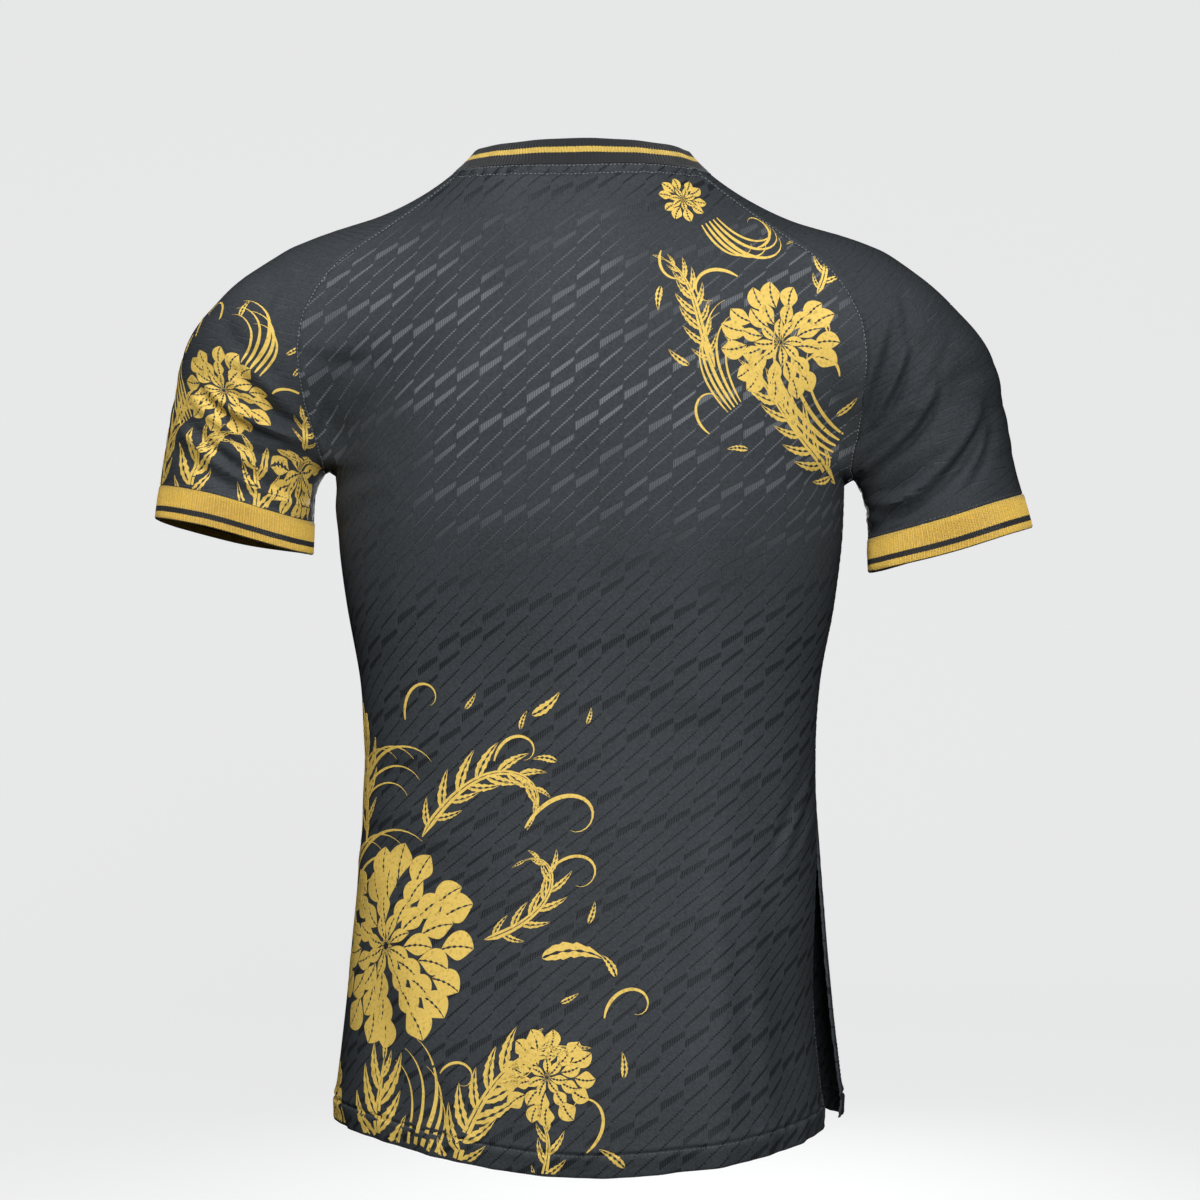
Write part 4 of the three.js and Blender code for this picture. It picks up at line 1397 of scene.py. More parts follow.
@dataclass
class Print:
    """Ink that lies on a panel: strips between two edges, worked out on flat cloth and laid by its grain."""

    samples: int = 22
    lanes: int = 2
    ink: float = 0.16
    sunk: float = 0.25  # how far under the cloth's surface a slip's bottom is
    miss: float = 0.6  # how far from its place on the flat cloth a corner may land before its cell is dropped
    combed: int = 5  # strokes in a wisp
    strips: list[Array] = field(default_factory=list)

    def __post_init__(self) -> None:
        """Spreads the samples of a line evenly along it."""
        self.t = np.linspace(0, 1, self.samples)

    def strip(self, line: Array, left: Array, right: Array) -> None:
        """Adds strips between a distance to the left of their lines and one to the right.

        Args:
            line: Points of shape (strips, samples, 2).
            left: Distances to the left, of shape (strips, samples).
            right: Distances to the right.
        """
        way = unit(np.gradient(line, axis=1))
        side = np.stack([-way[..., 1], way[..., 0]], axis=-1)
        offset = mix(left[..., None], -right[..., None], np.linspace(0, 1, self.lanes + 1))
        self.strips.append(line[..., None, :] + side[..., None, :] * offset[..., None])

    def path(self, root: Array, heading: Array, length: Array, bend: Array, curl: Array) -> Array:
        """Lines whose heading turns evenly by bend and by the cube of the way by curl.

        Args:
            root: Where each starts.
            heading: The angle that it starts at, in degrees.
            length: Its length.
            bend: Degrees that it turns evenly.
            curl: Degrees that it turns towards its end.

        Returns:
            Their points.
        """
        way = rays(heading[:, None] + bend[:, None] * self.t + curl[:, None] * self.t**3)
        step = length[:, None, None] / (self.samples - 1) * way
        walked = np.cumsum((step[:, 1:] + step[:, :-1]) / 2, axis=1)
        return root[:, None] + np.concatenate([np.zeros_like(walked[:, :1]), walked], axis=1)

    def leaf(
        self, root: Array, heading: Array, length: Array, bend: Array,
        broad: float = 0.15, belly: float = 0.72, notch: float = 0.34,
    ) -> None:
        """Adds pointed leaves, each as two blades with a bare vein between them and notched edges.

        A blade is as wide as a sine of the way to the power of belly, which puts its widest place near the
        root where belly is less than 1 and near the tip where it is more.

        Args:
            root: Where each starts.
            heading: The angle that it starts at, in degrees.
            length: Its length.
            bend: Degrees that it turns.
            broad: Half its width as a share of its length.
            belly: The power.
            notch: How deep the notches are, as a share of the width.
        """
        t = self.t
        line = self.path(root, heading, length, bend, 0 * bend)
        body = np.sin(np.pi * t**belly) ** 0.85 * (1 - 0.25 * t)
        full = length[:, None] * broad * body * (1 - notch * ((t * 5.5 + 0.2) % 1.0) * np.sin(np.pi * t))
        vein = np.minimum(0.4 + 0.012 * length[:, None] * (1 - t), full * 0.5)
        inner = vein * (1 + 0.9 * np.sin(t * 34) * np.sin(np.pi * t))
        self.strip(line, full, -inner)
        self.strip(line, -inner, full * 0.86)

    def bloom(self, centre: tuple[float, float], radius: float, counts: Sequence[int], lean: float) -> None:
        """Adds a flower: rings of pointed petals that lean and bend one way, about a ring of dots.

        Args:
            centre: Its middle, across and along the cloth.
            radius: The reach of the outer petals.
            counts: Petals in each ring, from the outer one inwards.
            lean: Degrees that a petal starts aside from straight outwards.
        """
        edges = radius * np.linspace(1.0, 0.1, len(counts) + 1) ** 1.15
        for k, (count, far, near) in enumerate(zip(counts, edges, edges[1:])):
            turn = 360 / count * (np.arange(count) + 0.5 * k) + 5 * np.sin(np.arange(count) * 2.3 + k)
            length = (far - near) * (1.3 + 0.1 * np.sin(np.arange(count) * 1.9 + k))
            broad = 1.06 * math.pi * (near + 0.6 * (far - near)) / count / (far - near) / 1.3
            root = np.array(centre) + rays(turn) * (near * 0.86)
            self.leaf(root, turn + lean, length, -1.7 * lean * np.ones(count), broad, 1.25, 0.0)
        dots = 9
        turn = 360 / dots * np.arange(dots)
        root = np.array(centre) + rays(turn) * radius * 0.035
        self.leaf(root, turn, np.full(dots, radius * 0.06), np.zeros(dots), 0.3)

    def sprays(self, *rows: Sequence[float]) -> None:
        """Adds sprays from rows of a Spray's values.

        Each has its stem, split by a bare line, its leaves on both sides and a fine line beside each leaf.

        Args:
            rows: The values, in their order.
        """
        one, t = np.ones(1), self.t
        for spray in (Spray(*row) for row in rows):
            root = np.array([[spray.across, spray.along]])
            turns = (one * item for item in (spray.heading, spray.length, spray.bend, spray.curl))
            stem = self.path(root, *turns)
            half = ((spray.stem * (1 - t) ** 0.8 + 0.35) * (0.1 + 0.9 * smooth(t / 0.09)))[None]
            self.strip(stem, half, -0.22 * half)
            self.strip(stem, -0.05 * half - 0.1, half)
            angle = spray.heading + spray.bend * t + spray.curl * t**3
            for side, start in ((1.0, 0.0), (-1.0, 0.45)):
                at = 0.07 + 0.9 * (np.arange(spray.leaves) + start) / spray.leaves
                at = at[at < 0.985]
                spot = np.stack([np.interp(at, t, stem[0, :, k]) for k in range(2)], axis=-1)
                way = np.interp(at, t, angle)
                length = spray.leaf * np.sin(np.pi * (0.2 + 0.76 * at)) ** 0.75 * (1 + 0.13 * np.sin(at * 43))
                lean = side * spray.spread * (1 - 0.42 * at) + 4 * np.sin(at * 31)
                self.leaf(spot, way + lean, length, -side * 34 * np.ones_like(at))
                fine = self.path(spot, way + lean * 1.28, length * 0.72, 0 * at - side * 52, 0 * at)
                hair = 0.42 * np.sin(np.pi * t**0.6)[None] * np.ones((len(at), 1)) + 0.05
                self.strip(fine, hair, hair)
            self.leaf(stem[:, -1], angle[-1:], spray.leaf * 0.45 * one, 12 * one)

    def hooks(self, *rows: Sequence[float]) -> None:
        """Adds curled strokes.

        Args:
            rows: Across, along, heading, length, bend, curl and half width of each.
        """
        table = np.array(rows, dtype=float)
        line = self.path(table[:, :2], *table[:, 2:6].T)
        half = table[:, 6:] * np.sin(np.pi * np.clip(self.t, 0.02, 0.985) ** 0.55)[None] + 0.05
        self.strip(line, half, half)

    def wisps(self, *rows: Sequence[float]) -> None:
        """Adds combed strokes, a fan of hooks from each row.

        They start side by side, and the outer ones are shorter, thinner and turned further away.

        Args:
            rows: As for hooks.
        """
        table = np.repeat(np.array(rows, dtype=float), self.combed, axis=0)
        k = np.tile(np.arange(self.combed) - (self.combed - 1) / 2, len(rows))
        table[:, :2] += (k * 2.6 * table[:, 6])[:, None] * rays(table[:, 2] + 90)
        table[:, 2] += 3.5 * k
        table[:, 3] *= 1 - 0.13 * np.abs(k) + 0.05 * np.sin(7 * k)
        table[:, 4] *= 1 + 0.05 * k
        table[:, 6] *= 1 - 0.2 * np.abs(k)
        self.hooks(*table)

    def petals(self, *rows: Sequence[float]) -> None:
        """Adds loose leaves from rows of across, along, heading, length and bend."""
        table = np.array(rows, dtype=float)
        self.leaf(table[:, :2], *table[:, 2:].T, broad=0.17)

    def piece(self, name: str, panel: Panel, material: Material) -> Piece:
        """Lays the strips on a panel as thin closed slips of ink.

        Each corner is found on the panel by its grain. The slip's top is a little off the cloth and its
        bottom a little inside it. What would lie past an edge of the panel is dropped, and slips keep whole
        cells only.

        Args:
            name: The piece's name.
            panel: What it is printed on.
            material: Its finish.

        Returns:
            The object.
        """
        flat = np.concatenate(self.strips)
        count, rows, columns = flat.shape[:3]
        u, v = panel.locate(flat[..., 0], flat[..., 1])
        found = panel.read(panel.grain, u, v)
        shown = (np.linalg.norm(found - flat, axis=-1) < self.miss).all(axis=-1)
        out = unit(panel.read(panel.normal, u, v))
        at = panel.read(panel.outer, u, v)
        layer = rows * columns
        points = np.stack([at + out * self.ink, at - out * self.sunk], axis=1).reshape(-1, 3)
        cells = quads(rows, columns)
        section = np.arange(rows - 1)
        cell_row = np.repeat(section, columns - 1)
        keep = shown[:, :-1] & shown[:, 1:]
        before = np.concatenate([np.zeros((count, 1), bool), keep[:, :-1]], axis=1)
        after = np.concatenate([keep[:, 1:], np.zeros((count, 1), bool)], axis=1)
        start = (np.arange(count) * 2 * layer)[:, None, None]

        def pick(faces: Array, mask: Array) -> Array:
            """One slip's faces on all slips, where the mask keeps them."""
            return (faces[None] + start)[mask]

        top = pick(cells, keep[:, cell_row])
        bottom = pick(cells[:, ::-1] + layer, keep[:, cell_row])
        first = section * columns
        last = first + columns - 1
        near = np.stack([first, first + columns, first + columns + layer, first + layer], axis=-1)
        far = np.stack([last, last + layer, last + columns + layer, last + columns], axis=-1)
        sides = [pick(near, keep), pick(far, keep)]
        c = np.arange(columns - 1)
        for shift, open_end in ((0, keep & ~before), (1, keep & ~after)):
            row = (section + shift)[:, None] * columns + c
            cap = np.stack([row, row + layer, row + 1 + layer, row + 1], axis=-1)
            cap = cap[..., ::-1] if shift else cap
            sides.append((cap[None] + start[..., None])[open_end].reshape(-1, 4))
        faces = np.concatenate([top, bottom, *sides])
        grain = np.stack([found, found], axis=1).reshape(-1, 2)
        used, faces = np.unique(faces, return_inverse=True)
        faces = faces.reshape(-1, 4)
        return new_piece(name, points[used], faces, grain[used][faces], material, 40)


# ---- Finishes ----

Colour = tuple[float, float, float]
Socket = bpy.types.NodeSocket
Feed = "Value | Socket | float | Sequence[float]"  # what a socket can be given
FULL_TURN = 2 * math.pi
PER_METRE = 1000.0  # millimetres
WALE = 1.6  # millimetres between the ribs that hatch a dash
DASH_EDGE = 0.25  # millimetres over which a dash's edge fades, to each side
STRIPE_EDGE = 0.18  # and a stripe's


@dataclass(frozen=True)
class Value:
    """A number that a shader works out, with the usual signs for sums."""

    wires: Wiring
    socket: Socket

    def __add__(self, other: Value | float) -> Value:
        """The sum of the two."""
        return self.wires.math("ADD", self, other)

    def __sub__(self, other: Value | float) -> Value:
        """This one less the other."""
        return self.wires.math("SUBTRACT", self, other)

    def __rsub__(self, other: float) -> Value:
        """The other less this one."""
        return self.wires.math("SUBTRACT", other, self)

    def __mul__(self, other: Value | float) -> Value:
        """The product of the two."""
        return self.wires.math("MULTIPLY", self, other)

    def __truediv__(self, other: Value | float) -> Value:
        """This one over the other."""
        return self.wires.math("DIVIDE", self, other)


class Wiring:
    """Adds nodes to one tree and joins them."""

    def __init__(self, tree: bpy.types.NodeTree) -> None:
        """Takes the tree to add to."""
        self.tree = tree

    def add(self, kind: str, **settings: object) -> bpy.types.Node:
        """A new node of a kind, with its settings."""
        node = self.tree.nodes.new(kind)
        for key, value in settings.items():
            setattr(node, key, value)
        return node

    def feed(self, socket: Socket, value: Feed) -> None:
        """Joins a socket to another, or sets its value."""
        if isinstance(value, Value):
            value = value.socket
        if isinstance(value, bpy.types.NodeSocket):
            self.tree.links.new(value, socket)
        else:
            socket.default_value = value

    def math(self, operation: str, *values: Feed) -> Value:
        """The result of one sum."""
        node = self.add("ShaderNodeMath", operation=operation)
        for socket, value in zip(node.inputs, values):
            self.feed(socket, value)
        return Value(self, node.outputs[0])

    def ramp(self, value: Feed, low: float, high: float, start: float = 0.0, end: float = 1.0) -> Value:
        """Goes smoothly from start at low to end at high."""
        node = self.add("ShaderNodeMapRange", interpolation_type="SMOOTHSTEP")
        for socket, item in zip(node.inputs, (value, low, high, start, end)):
            self.feed(socket, item)
        return Value(self, node.outputs[0])

    def blend(self, factor: Feed, a: Feed, b: Feed, how: str = "MIX") -> Socket:
        """Two colours mixed."""
        node = self.add("ShaderNodeMix", data_type="RGBA", blend_type=how)
        for socket, item in zip((node.inputs[0], node.inputs[6], node.inputs[7]), (factor, a, b)):
            self.feed(socket, item)
        return node.outputs[2]

    def tint(self, colour: Feed, factor: Value) -> Socket:
        """A colour times a factor."""
        grey = self.add("ShaderNodeCombineXYZ")
        for socket in grey.inputs:
            self.feed(socket, factor)
        return self.blend(1.0, colour, grey.outputs[0], "MULTIPLY")

    def split(self, vector: Feed) -> list[Value]:
        """The three numbers of a vector."""
        node = self.add("ShaderNodeSeparateXYZ")
        self.feed(node.inputs[0], vector)
        return [Value(self, socket) for socket in node.outputs]

    def noise(self, vector: Feed, scale: float, detail: float = 2.0) -> Value:
        """The strength of a noise, from 0 to 1."""
        node = self.add("ShaderNodeTexNoise")
        for name, item in (("Vector", vector), ("Scale", scale), ("Detail", detail)):
            self.feed(node.inputs[name], item)
        return Value(self, node.outputs[0])

    def grain(self) -> Socket:
        """The cloth's own coordinates, in metres."""
        return self.add("ShaderNodeUVMap", uv_map="grain").outputs[0]

    def place(self) -> Socket:
        """The place in space, in metres."""
        return self.add("ShaderNodeTexCoord").outputs["Object"]

    def use(self, group: bpy.types.NodeTree, **values: Feed) -> list[Value]:
        """The outputs of a group placed with its values."""
        node = self.add("ShaderNodeGroup", node_tree=group)
        for key, value in values.items():
            self.feed(node.inputs[key], value)
        return [Value(self, socket) for socket in node.outputs]

    def relief(self, shader: bpy.types.Node, height: Value, strength: float, depth: float) -> None:
        """Bumps a shader's surface by a height, with its depth in metres."""
        node = self.add("ShaderNodeBump")
        for name, item in (("Strength", strength), ("Distance", depth), ("Height", height)):
            self.feed(node.inputs[name], item)
        self.feed(shader.inputs["Normal"], node.outputs[0])


def new_group(
    name: str, inputs: dict[str, tuple[str, object]], outputs: Sequence[str]
) -> tuple[bpy.types.NodeTree, Wiring, dict[str, Value], Sequence[Socket]]:
    """An empty group.

    Args:
        name: Its name.
        inputs: The kind and starting value of each input.
        outputs: The name of each output, a number.

    Returns:
        The group, its wiring, its inputs to read and its outputs to feed.
    """
    group = bpy.data.node_groups.new(name, "ShaderNodeTree")
    for key, (kind, value) in inputs.items():
        socket = group.interface.new_socket(name=key, in_out="INPUT", socket_type="NodeSocket" + kind)
        if value is not None:
            socket.default_value = value
    for key in outputs:
        group.interface.new_socket(name=key, in_out="OUTPUT", socket_type="NodeSocketFloat")
    wires = Wiring(group)
    sockets = wires.add("NodeGroupInput").outputs
    given = {key: Value(wires, sockets[key]) for key in inputs}
    return group, wires, given, wires.add("NodeGroupOutput").inputs


class Groups:
    """The effects that several finishes share, each built once."""

    def __init__(self) -> None:
        """Builds the groups."""
        self.dashes = self.make_dashes()
        self.stitches = self.make_stitches()
        self.heather = self.make_heather()

    @staticmethod
    def make_dashes() -> bpy.types.NodeTree:
        """Slanted dashes knitted into columns.

        In each column a dash starts at the left edge every row, a step higher than in the column before, and
        rises to the right. Its lower edge climbs at the slope, less where the dash swells, and mostly in
        steps of one wale. Its thickness goes from thin to thick with the swell and narrows to the right. The
        swell is a sine of the dash's row and column, bent by two slow sines of both. A dash's rib is a sine
        across its wales.

        Returns:
            The group.
        """
        group, w, given, out = new_group(
            "slanted dashes",
            {
                "Grain": ("Vector", None), "Column": ("Float", 16.6), "Row": ("Float", 13.1),
                "Slope": ("Float", 0.9), "Step": ("Float", 3.6),
                "Thin": ("Float", 0.8), "Thick": ("Float", 5.0),
            },
            ("Dash", "Rib"),
        )
        width, pitch, slope, thin = given["Column"], given["Row"], given["Slope"], given["Thin"]
        x, y = (item * PER_METRE for item in w.split(given["Grain"])[:2])
        column = w.math("FLOOR", x / width)
        inside = x - column * width
        share = inside / width
        base = y - column * given["Step"]
        cell = base - inside * (slope * 0.9)
        row = w.math("FLOOR", (cell + pitch * 0.3) / pitch)
        slow = w.math("SINE", column * 0.47 + row * 0.23)
        slower = w.math("SINE", row * 0.37 - column * 0.11)
        phase = row * 2.05 - column * 0.82 + (slow * 1.1 + slower * 1.3)
        swell = w.ramp(w.math("SINE", phase), -0.25, 1.0)
        wale = (w.math("FLOOR", x / WALE) + 0.5) * WALE
        stepped = wale - column * width
        lower = (stepped * 0.8 + inside * 0.2) * (slope - swell * 0.2)
        thick = thin + swell * (given["Thick"] * (1.0 - share * 0.4) - thin)
        over = base - row * pitch - lower
        dash = w.ramp(over, -DASH_EDGE, DASH_EDGE) * w.ramp(over - thick, -DASH_EDGE, DASH_EDGE, 1.0, 0.0)
        dash = dash * (w.ramp(share, 0.0, 0.03) * w.ramp(share, 0.93, 0.99, 1.0, 0.0))
        rib = w.math("SINE", x * (FULL_TURN / WALE)) * 0.5 + 0.5
        w.feed(out["Dash"], dash)
        w.feed(out["Rib"], rib * (dash * (swell * 0.7 + 0.3)))
        return group

    @staticmethod
    def make_stitches() -> bpy.types.NodeTree:
        """Fine knitting: rows of small loops, each a bump between two wales, odd rows half a loop on."""
        group, w, given, out = new_group(
            "knit loops",
            {"Grain": ("Vector", None), "Loop": ("Float", 1.0), "Course": ("Float", 0.8)},
            ("Height",),
        )
        x, y = (item * PER_METRE for item in w.split(given["Grain"])[:2])
        x, y = x / given["Loop"], y / given["Course"]
        shift = w.math("MODULO", w.math("FLOOR", y), 2.0) * 0.5
        across = w.math("SINE", (x + shift) * FULL_TURN) * 0.5 + 0.5
        w.feed(out["Height"], across * w.math("ABSOLUTE", w.math("SINE", y * math.pi)))
        return group

    @staticmethod
    def make_heather() -> bpy.types.NodeTree:
        """Yarn that varies: a fine speckle and a slow cloud, as a factor about 1."""
        group, w, given, out = new_group(
            "yarn variation",
            {"Place": ("Vector", None), "Speckle": ("Float", 0.5), "Cloud": ("Float", 0.22)},
            ("Factor",),
        )
        fine = (w.noise(given["Place"], 560.0, 2.0) - 0.5) * given["Speckle"]
        slow = (w.noise(given["Place"], 14.0, 3.0) - 0.5) * given["Cloud"]
        w.feed(out["Factor"], (fine + slow) * 2.0 + 1.0)
        return group


def new_material(name: str) -> tuple[Material, Wiring, bpy.types.Node]:
    """A material with its wiring and its Principled shader."""
    material = bpy.data.materials.new(name)
    material.use_nodes = True
    return material, Wiring(material.node_tree), material.node_tree.nodes["Principled BSDF"]


@dataclass(frozen=True)
class JacquardKnit:
    """Charcoal jersey cloth with slanted dashes that are shinier and sit lower than the ground."""

    name: str
    ground: Colour = (0.036, 0.041, 0.046)
    # the dashes' painted highlight colour, then their painted shade colour
    painted_highlight_colour: Colour = (0.142, 0.152, 0.166)
    deep: Colour = (0.009, 0.0105, 0.0125)
    column: float = 16.6
    row: float = 13.1
    slope: float = 0.9
    step: float = 3.6
    thin: float = 1.15
    thick: float = 5.8
    painted_sheen: float = 1.0  # how far the dashes' painted highlight differs from their painted shade
    strength: float = 1.0
    painted_sheen_rise: tuple[float, float] = (-0.34, -0.17)  # heights in metres between which the dashes' painted highlight comes in
    painted_sheen_fall: tuple[float, float] = (-0.075, -0.02)  # and gives way to painted shade again

    def build(self, groups: Groups) -> Material:
        """Makes the material.

        Dashes carry a painted highlight on the shoulder blades and painted shade lower down and by the neck,
        set by height.

        Args:
            groups: The shared effects.

        Returns:
            The material.
        """
        material, w, shader = new_material(self.name)
        grain, place = w.grain(), w.place()
        height = w.split(place)[2]
        dash, rib = w.use(
            groups.dashes, Grain=grain, Column=self.column, Row=self.row, Slope=self.slope, Step=self.step,
            Thin=self.thin, Thick=self.thick,
        )
        (heather,) = w.use(groups.heather, Place=place)
        (loops,) = w.use(groups.stitches, Grain=grain, Loop=1.0, Course=0.8)
        # painted highlight on the dashes between two heights, broken up by a noise; painted shade elsewhere
        painted_sheen = w.ramp(height, *self.painted_sheen_rise) * w.ramp(height, *self.painted_sheen_fall, 1.0, 0.0)
        painted_sheen = painted_sheen * w.ramp(w.noise(place, 9.0, 1.0), 0.34, 0.56, 0.35 * self.painted_sheen, self.painted_sheen)
        tone = w.blend(painted_sheen, (*self.deep, 1), (*self.painted_highlight_colour, 1))
        ground = w.tint((*self.ground, 1), heather)
        w.feed(shader.inputs["Base Color"], w.blend((dash - rib * 0.7) * self.strength, ground, tone))
        w.feed(shader.inputs["Roughness"], 0.72 - dash * 0.2)
        w.relief(shader, loops * 0.1 + rib * 0.35 - dash * 0.75, 0.7, 0.0007)
        shader.inputs["Specular IOR Level"].default_value = 0.14
        return material


@dataclass(frozen=True)
class Stripe:
    """A coloured stretch of a band, up to a height above its seam in millimetres."""

    top: float
    colour: Colour


@dataclass(frozen=True)
class RibKnit:
    """Ribbed band whose stripes change colour row by row."""

    name: str
    stripes: tuple[Stripe, ...]

    def build(self, groups: Groups) -> Material:
        """Makes the material, each stripe's edge wavering a little with the ribs.

        Args:
            groups: The shared effects.

        Returns:
            The material.
        """
        material, w, shader = new_material(self.name)
        grain, place = w.grain(), w.place()
        x, y = (item * PER_METRE for item in w.split(grain)[:2])
        height = y + w.math("SINE", x * math.pi) * 0.16
        colour: Feed = (*self.stripes[0].colour, 1)
        for below, stripe in zip(self.stripes, self.stripes[1:]):
            share = w.ramp(height, below.top - STRIPE_EDGE, below.top + STRIPE_EDGE)
            colour = w.blend(share, colour, (*stripe.colour, 1))
        (heather,) = w.use(groups.heather, Place=place, Speckle=0.28, Cloud=0.08)
        (loops,) = w.use(groups.stitches, Grain=grain, Loop=1.0, Course=0.9)
        # the colour darkens in the rib valleys: painted shade
        painted_rib_shade = w.math("COSINE", x * math.pi) * 0.1 + 0.78
        w.feed(shader.inputs["Base Color"], w.tint(colour, heather * painted_rib_shade))
        w.feed(shader.inputs["Roughness"], w.noise(place, 300.0) * 0.12 + 0.74)
        w.relief(shader, loops, 0.5, 0.0004)
        shader.inputs["Sheen Weight"].default_value = 0.2
        shader.inputs["Specular IOR Level"].default_value = 0.25
        return material


@dataclass(frozen=True)
class GoldInk:
    """Gold printed on the knit, broken here and there where it sits on the loops."""

    name: str
    colour: Colour = (0.830, 0.580, 0.128)
    dark: Colour = (0.460, 0.290, 0.055)

    def build(self, groups: Groups) -> Material:
        """Makes the material.

        Args:
            groups: The shared effects.

        Returns:
            The material.
        """
        material, w, shader = new_material(self.name)
        place = w.place()
        (heather,) = w.use(groups.heather, Place=place, Speckle=0.16, Cloud=0.16)
        (loops,) = w.use(groups.stitches, Grain=w.grain(), Loop=1.0, Course=0.8)
        fleck = w.ramp(w.noise(place, 420.0, 2.0), 0.56, 0.68)
        base = w.blend(fleck * 0.55, (*self.colour, 1), (*self.dark, 1))
        w.feed(shader.inputs["Base Color"], w.tint(base, heather * (loops * 0.2 + 0.86)))
        w.feed(shader.inputs["Roughness"], fleck * 0.2 + 0.52)
        w.relief(shader, loops, 0.5, 0.0004)
        shader.inputs["Specular IOR Level"].default_value = 0.3
        return material


@dataclass(frozen=True)
class Yarn:
    """Sewing thread, twisted, so that its colour varies along it."""

    name: str
    colour: Colour

    def build(self, groups: Groups) -> Material:
        """Makes the material.

        Args:
            groups: The shared effects.

        Returns:
            The material.
        """
        material, w, shader = new_material(self.name)
        place = w.place()
        (heather,) = w.use(groups.heather, Place=place, Speckle=0.4, Cloud=0.1)
        w.feed(shader.inputs["Base Color"], w.tint((*self.colour, 1), heather))
        w.feed(shader.inputs["Roughness"], w.noise(place, 700.0) * 0.2 + 0.5)
        return material


# ---- Studio ----


def stand(name: str, data: bpy.types.ID, place: Array, right: Array, back: Array) -> Piece:
    """Stands a lamp or a camera in the scene.

    Args:
        name: The object's name.
        data: The lamp or the camera.
        place: Where it stands.
        right: The direction of its right side.
        back: The direction that it looks away from.

    Returns:
        The object.
    """
    turn = np.eye(4)
    turn[:3] = np.stack([right, np.cross(back, right), back, place], axis=1)
    holder = bpy.data.objects.new(name, data)
    holder.matrix_world = Matrix(turn.tolist())
    bpy.context.scene.collection.objects.link(holder)
    return holder


@dataclass(frozen=True)
class Lamp:
    """A square soft lamp that the camera doesn't see."""

    name: str
    at: Colour  # metres
    target: Colour
    size: float
    power: float
    spread: float  # degrees

    def build(self) -> None:
        """Hangs the lamp, turned to its target and level from side to side."""
        light = bpy.data.lights.new(self.name, "AREA")
        light.shape, light.size, light.energy = "SQUARE", self.size, self.power
        light.spread = math.radians(self.spread)
        place = np.array(self.at)
        back = unit(place - np.array(self.target))
        right = unit(np.cross([0.0, 0.0, 1.0], back))
        stand(self.name, light, place, right, back).visible_camera = False


